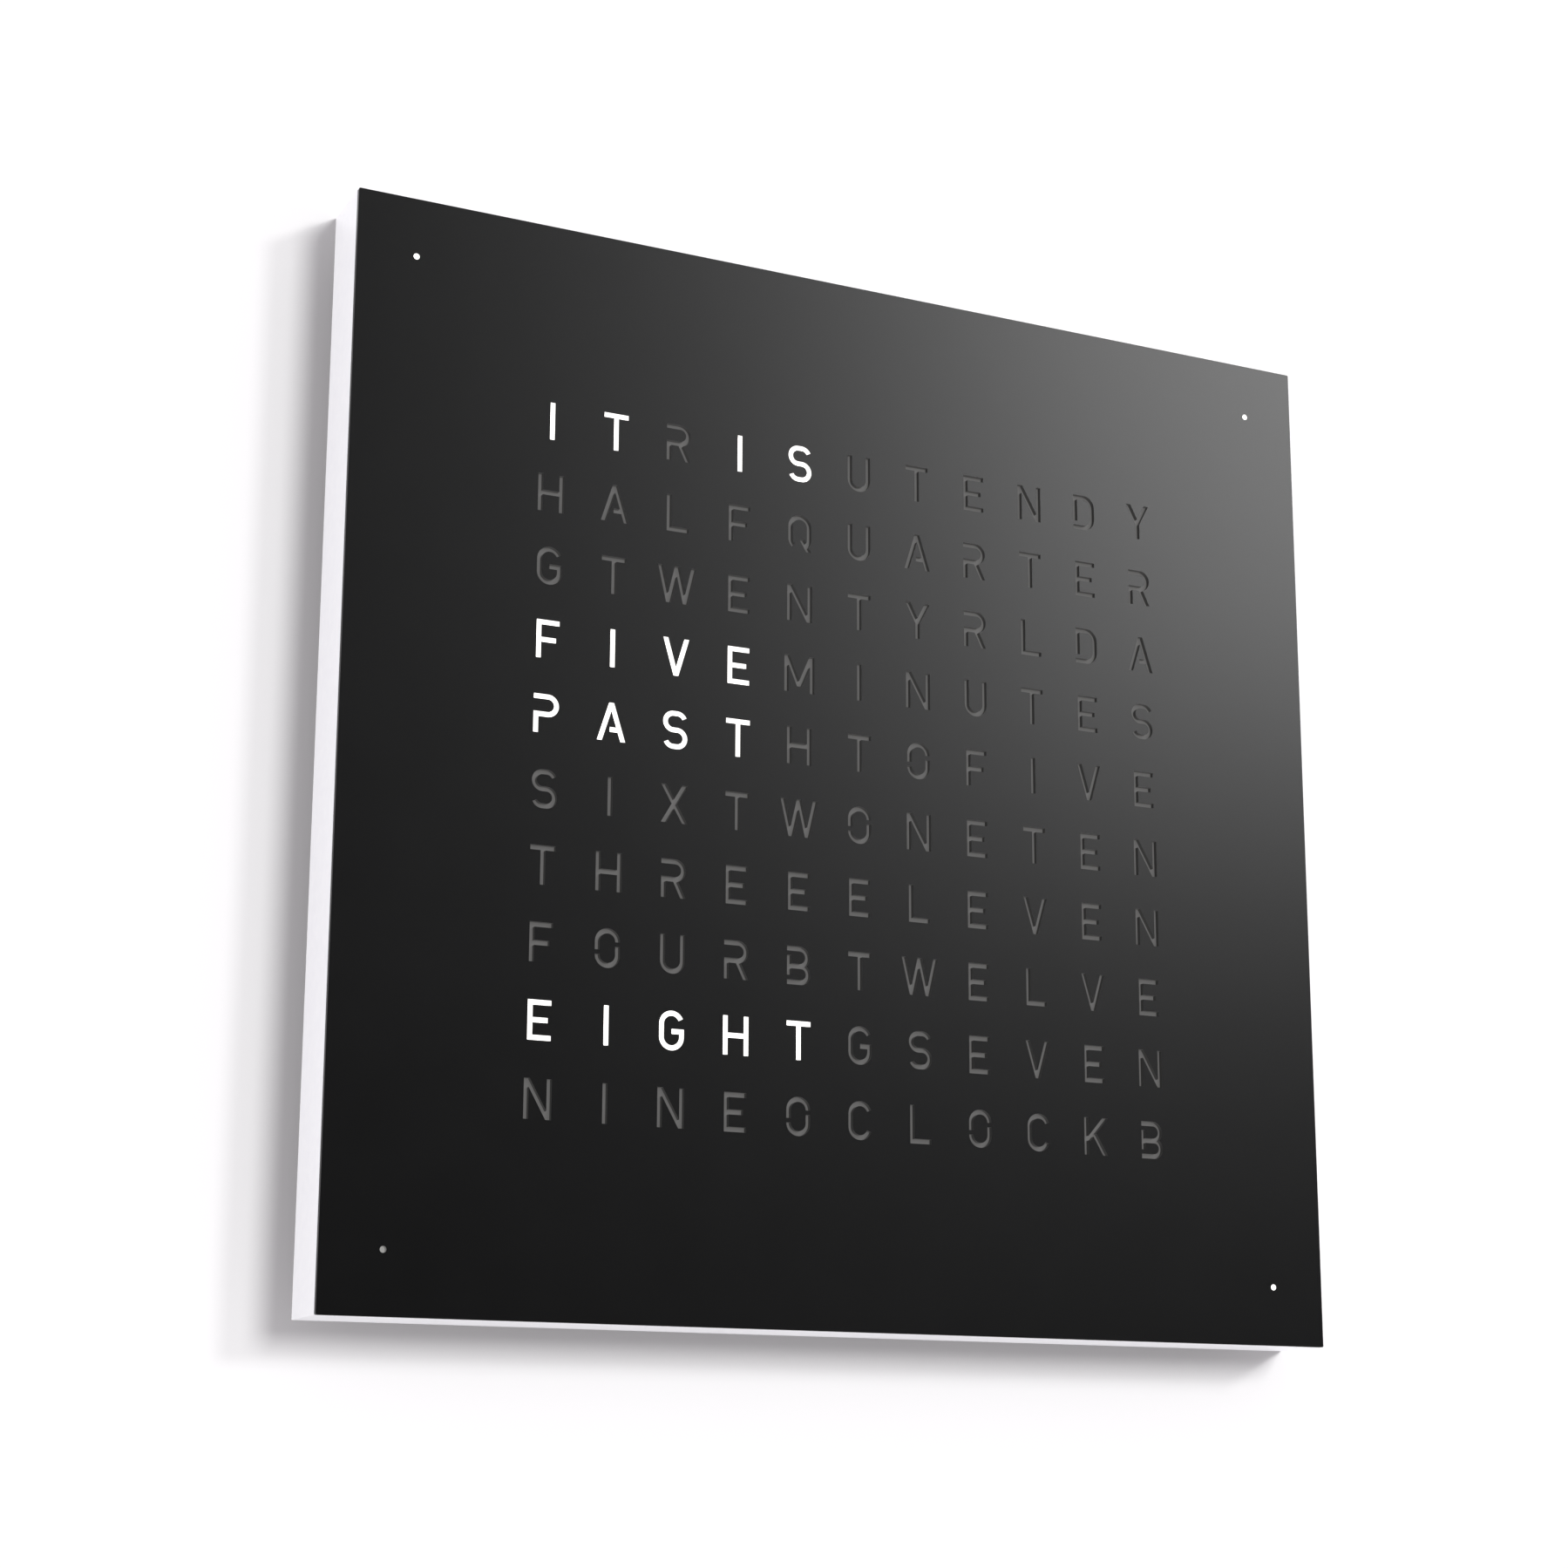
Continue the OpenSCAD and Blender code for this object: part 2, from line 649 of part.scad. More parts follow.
module rear_panel() color("white") difference() {
    slab(0, panel_t) difference() {
        square(stack, center = true);
        translate([0, well_z]) square([well_w, well_h], center = true);
        for (p = keyhole_spots) translate(p) keyhole();
        for (p = concat(keyhole_rivet_spots, well_rivet_spots)) translate(p) circle(r = rivet_r + hole_gap);
        for (z = vent_rows, i = [0:vent_count - 1])
            translate([(i - (vent_count - 1) / 2) * vent_pitch, z]) vent_slot();
    }
    for (p = ledge_spots) outward(p[0], p[1], 0) flat_hole(panel_screw);
}

module panel_screws() color("silver") for (p = ledge_spots) outward(p[0], p[1], 0) flat_screw(panel_screw);

module keyhole_plates() color("silver") slab(panel_t, panel_t + keyhole_plate[2]) difference() {
    for (p = keyhole_spots) translate([p[0], p[1] + keyhole_rise / 2])
        square([keyhole_plate[0], keyhole_plate[1]], center = true);
    for (p = keyhole_spots) translate(p) keyhole();
    for (p = keyhole_rivet_spots) translate(p) circle(r = rivet_r + hole_gap);
}

// A rivet, flush with the panel's rear face and with its head inside
module rivet(p, grip) outward(p[0], p[1], 0) {
    cylinder(r = rivet_r, h = grip);
    translate([0, 0, grip]) cylinder(r = rivet_head[0], h = rivet_head[1]);
}

module keyhole_rivets() color("silver") for (p = keyhole_rivet_spots) rivet(p, panel_t + keyhole_plate[2]);

module well_rivets() color("silver") for (p = well_rivet_spots) rivet(p, panel_t + well_wall);

// The cup behind the panel's cut-out, with the jack's hole in its top wall
module inlet_well() color("#303234") difference() {
    union() {
        slab(panel_t, panel_t + well_wall) translate([0, well_z])
            square(well_outer + 2 * well_flange * [1, 1], center = true);
        slab(panel_t, well_floor + well_wall) translate([0, well_z]) square(well_outer, center = true);
    }
    slab(panel_t - 1, well_floor) translate([0, well_z]) square([well_w, well_h], center = true);
    slab(panel_t - 1, panel_t + well_wall + 1)
        translate([-jack[0] / 2 - 1, jack_z + well_wall]) square([jack[0] + 2, well_flange + 1]);
    translate([0, -jack_d, jack_z - 1]) cylinder(r = jack_nose_r + hole_gap, h = well_wall + 2);
    slab(panel_t - 1, panel_t + well_wall + 1)
        for (p = well_rivet_spots) translate(p) circle(r = rivet_r + hole_gap);
}

module dc_jack() color("#222222") difference() {
    union() {
        slab(jack_d - jack[1] / 2, jack_d + jack[1] / 2)
            translate([-jack[0] / 2, jack_z + well_wall]) square([jack[0], jack[2]]);
        translate([0, -jack_d, jack_z]) cylinder(r = jack_nose_r, h = well_wall + 1);
    }
    translate([0, -jack_d, jack_z - 1]) cylinder(r = jack_bore_r, h = jack_bore_depth + 1);
}

module jack_pin() color("silver")
    translate([0, -jack_d, jack_z + 1]) cylinder(r = jack_pin_r, h = jack_bore_depth - 1);

// Two leads from the jack, round the well's corner, to the power header
module jack_leads() color("firebrick") for (side = [-1, 1]) {
    start_x = lead_side * side;
    over_z = jack_top + lead_rise - lead_side * side;
    turn_x = control_x - control[0] / 2 - lead_clear - lead_side * side;
    end_z = control_z + power_spot[1] - lead_side * side;
    translate([start_x, -lead_d, jack_top]) wire([[over_z - lead_bend - jack_top, 1],
        [turn_x - start_x - 2 * lead_bend, 1],
        [over_z - end_z - 2 * lead_bend, -1],
        [control_x - control[0] / 2 - turn_x - lead_bend, 0]], lead_r, lead_bend);
}

// ---- Control board ----

standoff_spots = [for (x = [-1, 1], z = [-1, 1])
    [control_x + x * (control[0] / 2 - standoff_inset), control_z + z * (control[1] / 2 - standoff_inset)]];

// A part on the control board, placed from the board's middle
module mounted(spot, size) block(control_x + spot[0], control_z + spot[1], d_parts, size);
module round_part(spot, r, h)
    outward(control_x + spot[0], control_z + spot[1], d_parts) cylinder(r = r, h = h);

module control_board() color("darkgreen") slab(d_control, d_parts) difference() {
    translate([control_x, control_z]) square(control, center = true);
    for (p = standoff_spots) translate(p) circle(r = control_screw[2] + hole_gap);
}

module control_standoffs() color("gold") slab(panel_t, d_control) difference() {
    for (p = standoff_spots) translate(p) circle(r = standoff_r);
    for (p = standoff_spots) translate(p) circle(r = control_screw[2] + hole_gap);
}

module control_screws() color("silver") for (p = standoff_spots)
    inward(p[0], p[1], d_parts) pan_screw(control_screw);

module microcontroller() color("#2b2b2b") mounted(processor_spot, processor);
module clock_crystal() color("silver") mounted(crystal_spot, crystal);
module timekeeper_chip() color("#2b2b2b") mounted(timekeeper_spot, timekeeper);
module voltage_regulator() color("#2b2b2b") mounted(regulator_spot, regulator);
module power_inductor() color("dimgray") round_part(inductor_spot, inductor_r, 0.85 * parts_h);
module smoothing_capacitors() color("slategray")
    for (p = capacitor_spots) round_part(p, capacitor_r, parts_h);

module coin_cell_holder() color("#2b2b2b") difference() {
    round_part(cell_spot, cell_r + holder_wall, holder_floor + cell_t + cell_gap);
    translate([0, -holder_floor, 0]) round_part(cell_spot, cell_r + cell_gap, cell_t + 1);
}

module coin_cell() color("silver") translate([0, -holder_floor, 0]) round_part(cell_spot, cell_r, cell_t);

module power_header() color("ivory") mounted(power_spot, power_block);

// The ribbon cable's two headers: on the control board, and on the back of the lower LED board
module ribbon_headers() color("ivory") {
    block(ribbon_x, ribbon_z0 - header[1] / 2, d_parts, header);
    block(ribbon_x, ribbon_z1 + header[1] / 2, d_board - header[2], header);
}

module ribbon_cable() color("lightgray") flat_cable(ribbon_x, ribbon_w, ribbon_t,
    [[d_parts + header[2] / 2, ribbon_z0], [d_parts + header[2] / 2, ribbon_z0 + 5],
        [d_board - header[2] / 2, ribbon_z1 - 5], [d_board - header[2] / 2, ribbon_z1]]);

// ---- Buttons ----

module button_board() color("darkgreen") difference() {
    slab(panel_t + button_board_gap, panel_t + pocket_d - button_board_gap)
        translate([button_board_x - board_t, button_z - button_board_half])
        square([board_t, 2 * button_board_half]);
    for (z = [-spacer_z, spacer_z])
        rightward(button_board_x - board_t - 1, button_z + z, button_d)
            cylinder(r = spacer_hole_r, h = board_t + 2);
}

module button_spacers() color("gold") for (z = [-spacer_z, spacer_z])
    rightward(button_board_x, button_z + z, button_d) difference() {
        cylinder(r = spacer_r, h = pocket_x - button_board_x);
        translate([0, 0, -1]) cylinder(r = spacer_hole_r, h = pocket_x - button_board_x + 2);
    }

module button_board_screws() color("silver") for (z = [-spacer_z, spacer_z])
    rightward(button_board_x - board_t, button_z + z, button_d) pan_screw(spacer_screw);

module button_switches() color("#2b2b2b") for (z = button_zs) difference() {
    slab(button_d - switch[1] / 2, button_d + switch[1] / 2)
        translate([button_board_x, z - switch[2] / 2]) square([switch[0], switch[2]]);
    rightward(switch_x - plunger_dip - button_travel - 0.2, z, button_d)
        cylinder(r = plunger_r + button_gap, h = plunger_dip + button_travel + 1);
}

// A side button: its barrel passes the wall and its collar holds it in
module button(z) color("gainsboro") {
    rightward(pocket_x - collar_t, z, button_d) cylinder(r = collar_r, h = collar_t);
    rightward(pocket_x - collar_t, z, button_d)
        cylinder(r = button_r, h = collar_t + side_wall_t + button_proud - button_bevel);
    rightward(face_w / 2 + button_proud - button_bevel, z, button_d)
        cylinder(r1 = button_r, r2 = button_r - button_bevel, h = button_bevel);
}

module plunger(z) color("black") rightward(switch_x - plunger_dip, z, button_d)
    cylinder(r = plunger_r, h = pocket_x - collar_t - switch_x + plunger_dip);

module hour_button() button(button_zs[0]);
module hour_plunger() plunger(button_zs[0]);
module minute_button() button(button_zs[1]);
module minute_plunger() plunger(button_zs[1]);
module mode_button() button(button_zs[2]);
module mode_plunger() plunger(button_zs[2]);

// The flexible cable from the button board to the control board, and its two sockets
flex_x0 = control_x + control[0] / 2;
flex_x1 = button_board_x - board_t - 4;

module button_cable_sockets() color("ivory") {
    block(flex_x0 - socket[0] / 2, button_z, d_parts, socket);
    slab(flex_d - 2, flex_d + 2) translate([flex_x1, button_z - socket[1] / 2]) square([4, socket[1]]);
}

module button_cable() color("lightgray") slab(flex_d - flex_t / 2, flex_d + flex_t / 2)
    translate([flex_x0, button_z - flex_w / 2]) square([flex_x1 - flex_x0, flex_w]);

// ---- The whole clock ----

front_cover();
cover_studs();
bottom_rail();
right_rail();
top_rail();
left_rail();
corner_brackets();
bracket_screws();
cover_magnets();
diffuser_sheet();
diffuser_screws();
light_baffle();
baffle_screws();
upper_led_board();
lower_led_board();
letter_leds();
minute_leds();
led_drivers();
light_sensor();
board_link_headers();
board_link_cable();
rear_panel();
panel_screws();
keyhole_plates();
keyhole_rivets();
inlet_well();
well_rivets();
dc_jack();
jack_pin();
jack_leads();
control_board();
control_standoffs();
control_screws();
microcontroller();
clock_crystal();
timekeeper_chip();
voltage_regulator();
power_inductor();
smoothing_capacitors();
coin_cell_holder();
coin_cell();
power_header();
ribbon_headers();
ribbon_cable();
button_board();
button_spacers();
button_board_screws();
button_switches();
button_cable_sockets();
button_cable();
hour_button();
hour_plunger();
minute_button();
minute_plunger();
mode_button();
mode_plunger();
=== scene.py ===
"""Looks of the word clock.

The frame is in metres: X runs to the right, Z up, the face looks along -Y, and the wall is the plane Y = 0.
"""

import json
import math

import bmesh
import bpy
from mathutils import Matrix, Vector

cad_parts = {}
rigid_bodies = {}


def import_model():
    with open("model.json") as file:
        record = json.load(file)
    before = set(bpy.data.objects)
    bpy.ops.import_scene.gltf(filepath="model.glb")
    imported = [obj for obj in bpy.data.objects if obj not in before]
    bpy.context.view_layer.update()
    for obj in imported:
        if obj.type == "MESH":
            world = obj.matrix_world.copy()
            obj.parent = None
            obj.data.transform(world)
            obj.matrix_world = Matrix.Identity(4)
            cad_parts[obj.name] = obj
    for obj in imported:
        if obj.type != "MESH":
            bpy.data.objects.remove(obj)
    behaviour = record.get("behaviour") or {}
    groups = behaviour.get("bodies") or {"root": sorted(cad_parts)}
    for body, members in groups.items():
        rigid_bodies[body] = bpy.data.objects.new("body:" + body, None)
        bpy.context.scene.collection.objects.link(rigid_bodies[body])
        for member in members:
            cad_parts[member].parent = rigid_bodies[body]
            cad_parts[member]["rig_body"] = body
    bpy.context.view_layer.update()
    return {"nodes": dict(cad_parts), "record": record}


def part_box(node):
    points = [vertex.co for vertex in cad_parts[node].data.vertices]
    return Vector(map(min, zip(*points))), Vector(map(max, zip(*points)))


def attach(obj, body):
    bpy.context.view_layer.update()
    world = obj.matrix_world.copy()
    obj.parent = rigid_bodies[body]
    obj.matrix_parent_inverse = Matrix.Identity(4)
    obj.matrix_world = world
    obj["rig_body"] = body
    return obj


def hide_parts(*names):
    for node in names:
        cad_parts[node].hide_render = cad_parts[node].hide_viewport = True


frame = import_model()
nodes = frame["nodes"]
MM = 0.001
WAVE = math.pi / 10  # a Wave Texture's period at scale 1

# ---- Camera, fitted to the photograph's corners and dots ----

CAMERA_PLACE = Vector((-0.5354, -1.0978, -0.3027))
CAMERA_AIM = Vector((-0.0126, -0.0320, -0.0316))
PHOTO_SIDE = 1799
FOCAL_LENGTH = 3370.9  # in the photograph's pixels
AXIS_PIXEL = (955.2, 986.5)  # the pixel that the camera's axis meets
SENSOR = 36


def look(thing, place, aim):
    thing.location = place
    thing.rotation_euler = (aim - place).to_track_quat("-Z", "Y").to_euler()


camera = bpy.data.objects.new("camera", bpy.data.cameras.new("camera"))
camera.data.sensor_width = SENSOR
camera.data.lens = FOCAL_LENGTH / PHOTO_SIDE * SENSOR
camera.data.shift_x = (PHOTO_SIDE / 2 - AXIS_PIXEL[0]) / PHOTO_SIDE
camera.data.shift_y = (AXIS_PIXEL[1] - PHOTO_SIDE / 2) / PHOTO_SIDE
look(camera, CAMERA_PLACE, CAMERA_AIM)
bpy.context.collection.objects.link(camera)
bpy.context.scene.camera = camera
bpy.context.scene.view_settings.view_transform = "Standard"

# ---- Node helpers ----


def material(name):
    """A new material, its node tree and its shader."""
    made = bpy.data.materials.new(name)
    made.use_nodes = True
    return made, made.node_tree, made.node_tree.nodes["Principled BSDF"]


def node(tree, kind, inputs=None, **settings):
    """A new node. inputs gives each socket, by name or number, a value or another node's output."""
    made = tree.nodes.new("ShaderNode" + kind)
    for key, value in settings.items():
        setattr(made, key, value)
    for key, value in (inputs or {}).items():
        feed(tree, made.inputs[key], value)
    return made


def feed(tree, socket, value):
    if isinstance(value, bpy.types.NodeSocket):
        tree.links.new(value, socket)
    else:
        socket.default_value = value


def calc(tree, operation, a, b=0.0):
    return node(tree, "Math", {0: a, 1: b}, operation=operation).outputs[0]


def plus(tree, a, b):
    return calc(tree, "ADD", a, b)


def minus(tree, a, b):
    return calc(tree, "SUBTRACT", a, b)


def product(tree, first, *others):
    for other in others:
        first = calc(tree, "MULTIPLY", first, other)
    return first


def within(tree, value, low, high):
    """1 where value lies between low and high."""
    return product(tree, calc(tree, "GREATER_THAN", value, low), calc(tree, "LESS_THAN", value, high))


def length_of(tree, a, b):
    return calc(tree, "SQRT", plus(tree, product(tree, a, a), product(tree, b, b)))


def off_middle(tree, place, pitch):
    """How far a place, counted in cells of one pitch, is off its cell's middle."""
    return product(tree, calc(tree, "ABSOLUTE", minus(tree, calc(tree, "FRACT", place), 0.5)), pitch)


def rgb(r, g, b):
    return (r, g, b, 1)


def place_in_frame(tree, stretch=(1, 1, 1)):
    """The surface point in the part's frame, stretched along the axes."""
    point = node(tree, "TexCoord").outputs["Object"]
    return node(tree, "Mapping", {"Vector": point, "Scale": stretch}).outputs[0]


def coordinates(tree):
    """The surface point's X, Y and Z in the part's frame."""
    return node(tree, "SeparateXYZ", {0: node(tree, "TexCoord").outputs["Object"]}).outputs


def noise(tree, size, detail=2.0, stretch=(1, 1, 1), roughness=0.5):
    """Noise whose blotches are about size metres wide."""
    return node(tree, "TexNoise", {"Vector": place_in_frame(tree, stretch), "Scale": 1 / size,
                                   "Detail": detail, "Roughness": roughness}).outputs[0]


def spread(tree, value, low, high, start=0.3, end=0.7):
    """Maps value from [start, end] to [low, high]."""
    return node(tree, "MapRange", {"Value": value, "From Min": start, "From Max": end,
                                   "To Min": low, "To Max": high}).outputs[0]


def blend_colours(tree, share, first, second):
    made = node(tree, "Mix", data_type="RGBA")
    feed(tree, made.inputs["Factor"], share)
    feed(tree, made.inputs[6], first)
    feed(tree, made.inputs[7], second)
    return made.outputs[2]


def bump(tree, shader, height, depth, under=None):
    """Raises the surface by height, where 1 is depth metres, on top of another bump."""
    made = node(tree, "Bump", {"Height": height, "Strength": 1.0, "Distance": depth})
    if under is not None:
        feed(tree, made.inputs["Normal"], under)
    feed(tree, shader.inputs["Normal"], made.outputs[0])
    return made.outputs[0]


def shade(colour, factor):
    return rgb(*(c * factor for c in colour[:3]))


def tint(tree, shader, share, first, second):
    """Gives the surface a colour between two, by a share from 0 to 1."""
    feed(tree, shader.inputs["Base Color"], blend_colours(tree, share, first, second))


def roughen(tree, shader, value, low, high):
    """Gives the surface a roughness from low to high, by a noise."""
    feed(tree, shader.inputs["Roughness"], spread(tree, value, low, high))


# ---- Materials ----


def coated(name, colour, rough, grain, depth, mottle=0.05):
    """Paint, powder coat or moulded plastic: a fine grain over a faint mottle."""
    made, tree, shader = material(name)
    blotches = noise(tree, 60 * grain, 3)
    fine = noise(tree, grain, 3, roughness=0.6)
    tint(tree, shader, spread(tree, blotches, 0, 1), shade(colour, 1 - mottle), shade(colour, 1 + mottle))
    roughen(tree, shader, fine, rough - 0.06, rough + 0.06)
    bump(tree, shader, fine, depth)
    return made


# The cells of the light baffle
PITCH_X, PITCH_Z = 28 * MM, 31 * MM
COLUMNS, ROW_COUNT = 11, 10
HALF_GRID_X, HALF_GRID_Z = COLUMNS * PITCH_X / 2, ROW_COUNT * PITCH_Z / 2
CELL_WALL = 3 * MM
CELL_REACH = PITCH_X / 2  # from a cell's middle to its side
DOT_PLACE = 200 * MM  # from the face's middle, along X and along Z
DOT_FADE = (3 * MM, 5 * MM)  # a dot's light ends between these radii
# The lit words: row from the top, first column, last column
LIT_RUNS = [(1, 1, 2), (1, 4, 5), (4, 1, 4), (5, 1, 4), (9, 1, 5)]
# The minute dots: side along X, side along Z, brightness
DOTS = [(-1, 1, 1.0), (1, 1, 1.0), (1, -1, 1.0), (-1, -1, 0.095)]
LED_WHITE = rgb(1.0, 0.985, 0.96)
LETTER_GLOW = 2.2
SHEET_PAINTED_GLOW = 0.11  # a faint painted glow over the whole sheet, which greys the unlit letters
WALL_GLOW = 1.1  # light that the lit cells throw on the walls of the cuts over them
WALL_LEAK = 0.015  # the same in the unlit cells
PAINTED_LIGHT_FROM_BELOW = 0.025  # painted light from below, added on the walls of the cuts that look down


def cell_glow(tree):
    """The light in the plane of the face.

    Gives how lit the cell is, how lit the dot is, and how far the point is off its cell's middle, along X
    and along Z.
    """
    point = coordinates(tree)
    x, z = point["X"], point["Z"]
    column = calc(tree, "DIVIDE", plus(tree, x, HALF_GRID_X), PITCH_X)
    row = calc(tree, "DIVIDE", minus(tree, HALF_GRID_Z, z), PITCH_Z)
    lit = 0.0
    for run_row, first, last in LIT_RUNS:
        in_row = within(tree, row, run_row - 1, run_row)
        in_run = within(tree, column, first - 1, last)
        lit = plus(tree, lit, product(tree, in_row, in_run))
    dots = 0.0
    for side_x, side_z, level in DOTS:
        away = length_of(tree, minus(tree, x, side_x * DOT_PLACE), minus(tree, z, side_z * DOT_PLACE))
        dots = plus(tree, dots, spread(tree, away, level, 0, *DOT_FADE))
    return lit, dots, (off_middle(tree, column, PITCH_X), off_middle(tree, row, PITCH_Z))


def diffuser_sheet():
    """Smoked acrylic with a matte face. It glows over the lit cells and dots."""
    made, tree, shader = material("smoked_acrylic")
    lit, dots, off = cell_glow(tree)
    soft = 2 * MM  # the light fades out over this at the cell's walls
    for value, pitch in zip(off, (PITCH_X, PITCH_Z)):
        half = (pitch - CELL_WALL) / 2
        lit = product(tree, lit, spread(tree, value, 1, 0, half - soft, half + soft / 2))
    from_middle = length_of(tree, *off)
    lit = product(tree, lit, spread(tree, from_middle, 1.0, 0.75, 0, CELL_REACH))
    # A faint painted glow over the whole sheet, a little brighter in each cell's middle
    faint_painted_light = spread(tree, from_middle, 1.08 * SHEET_PAINTED_GLOW, 0.92 * SHEET_PAINTED_GLOW, 0, CELL_REACH)
    glow = plus(tree, product(tree, plus(tree, lit, dots), LETTER_GLOW), faint_painted_light)

    grain = noise(tree, 0.25 * MM, 2)
    cloud = noise(tree, 40 * MM, 2)
    tint(tree, shader, spread(tree, cloud, 0, 1), rgb(0.030, 0.030, 0.031), rgb(0.036, 0.036, 0.037))
    roughen(tree, shader, grain, 0.6, 0.75)
    shader.inputs["Specular IOR Level"].default_value = 0.25
    shader.inputs["Emission Color"].default_value = LED_WHITE
    feed(tree, shader.inputs["Emission Strength"], glow)
    bump(tree, shader, grain, 0.01 * MM)
    return made


def cover_paint():
    """Black satin powder coat: a fine pebbled skin over slow waves.

    The walls of the letter cuts are washed with painted light, more of it on the walls that look down.
    """
    made, tree, shader = material("cover_paint")
    pebbles = noise(tree, 0.45 * MM, 3, roughness=0.55)
    waves = noise(tree, 25 * MM, 2)
    tint(tree, shader, spread(tree, waves, 0, 1), rgb(0.0028, 0.0028, 0.0030), rgb(0.0036, 0.0036, 0.0038))
    roughen(tree, shader, pebbles, 0.31, 0.36)
    bump(tree, shader, pebbles, 0.004 * MM)
    lit, dots, _ = cell_glow(tree)
    facing = node(tree, "SeparateXYZ", {0: node(tree, "NewGeometry").outputs["True Normal"]}).outputs
    is_wall = calc(tree, "LESS_THAN", calc(tree, "ABSOLUTE", facing["Y"]), 0.5)
    point = coordinates(tree)
    # Painted light on the cut walls, stronger on the walls that look down, as if lit from below
    faint_painted_light = spread(tree, facing["Z"], WALL_LEAK + PAINTED_LIGHT_FROM_BELOW, WALL_LEAK, -1, 0)
    for axis, half in (("X", HALF_GRID_X), ("Z", HALF_GRID_Z)):
        faint_painted_light = product(tree, faint_painted_light, within(tree, point[axis], -half, half))
    washed = plus(tree, product(tree, plus(tree, lit, dots), WALL_GLOW), faint_painted_light)
    shader.inputs["Emission Color"].default_value = LED_WHITE
    feed(tree, shader.inputs["Emission Strength"], product(tree, washed, is_wall))
    return made


def lacquer():
    """White satin lacquer, with the faint waviness of a sprayed coat."""
    made, tree, shader = material("white_lacquer")
    waves = noise(tree, 4 * MM, 3)
    dust = noise(tree, 0.3 * MM, 2)
    tint(tree, shader, spread(tree, waves, 0, 1), rgb(0.86, 0.86, 0.885), rgb(0.89, 0.89, 0.91))
    roughen(tree, shader, dust, 0.30, 0.38)
    bump(tree, shader, waves, 0.01 * MM, under=bump(tree, shader, dust, 0.002 * MM))
    return made


def metal(name, colour, rough, streak, stretch=(1, 1, 1), depth=0.003, metallic=1.0):
    """Bare or plated metal, streaked along the axis whose stretch is small."""
    made, tree, shader = material(name)
    lines = noise(tree, streak * MM, 4, stretch, 0.6)
    cloud = noise(tree, 6 * MM, 2)
    tint(tree, shader, spread(tree, cloud, 0, 1), shade(colour, 0.92), shade(colour, 1.04))
    shader.inputs["Metallic"].default_value = metallic
    roughen(tree, shader, lines, rough - 0.07, rough + 0.1)
    bump(tree, shader, lines, depth * MM)
    return made


def turned_metal():
    """The buttons' fine-turned faces: rings about each button's axis, under clear anodising."""
    made, tree, shader = material("turned_aluminium")
    low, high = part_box("minute_button")
    axis = (low + high) / 2
    pitch = (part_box("hour_button")[1] - high).z
    ring = 0.16 * MM
    point = coordinates(tree)
    along = calc(tree, "FRACT", calc(tree, "DIVIDE", minus(tree, point["Z"], axis.z - pitch / 2), pitch))
    across = product(tree, minus(tree, along, 0.5), pitch)
    about = node(tree, "CombineXYZ", {"X": point["X"], "Y": minus(tree, point["Y"], axis.y), "Z": across})
    rings = node(tree, "TexWave", {"Vector": about.outputs[0], "Scale": WAVE / ring, "Distortion": 1.2,
                                   "Detail": 2.0}, wave_type="RINGS", rings_direction="X").outputs[1]
    tint(tree, shader, rings, rgb(0.50, 0.50, 0.51), rgb(0.68, 0.68, 0.69))
    shader.inputs["Metallic"].default_value = 0.9
    roughen(tree, shader, noise(tree, 0.3 * MM), 0.24, 0.34)
    bump(tree, shader, rings, 0.006 * MM)
    return made


def spangled_zinc():
    """Zinc plate with faint crystals."""
    made, tree, shader = material("zinc_plate")
    crystals = node(tree, "TexVoronoi", {"Vector": place_in_frame(tree), "Scale": 1 / (5 * MM)})
    tone = node(tree, "SeparateColor", {0: crystals.outputs["Color"]}).outputs[0]
    scratches = noise(tree, 0.3 * MM, 3, (1, 1, 0.1))
    tint(tree, shader, tone, rgb(0.56, 0.57, 0.59), rgb(0.68, 0.69, 0.71))
    shader.inputs["Metallic"].default_value = 1.0
    rough = plus(tree, spread(tree, tone, 0.26, 0.4, 0, 1), spread(tree, scratches, -0.03, 0.05))
    feed(tree, shader.inputs["Roughness"], rough)
    bump(tree, shader, scratches, 0.003 * MM)
    return made


def board_tracks(tree, along, across):
    """1 on copper tracks that run along one axis and step aside at 45 degrees."""
    spacing, width, blur = 2.54 * MM, 0.55 * MM, 0.04 * MM
    run, straight, step = 24 * MM, 9 * MM, 6 * MM
    ramp = minus(tree, calc(tree, "PINGPONG", along, run), straight)
    aside = calc(tree, "MINIMUM", calc(tree, "MAXIMUM", ramp, 0), step)
    lane = calc(tree, "DIVIDE", plus(tree, across, aside), spacing)
    return spread(tree, off_middle(tree, lane, spacing), 1, 0, width / 2 - blur, width / 2 + blur)


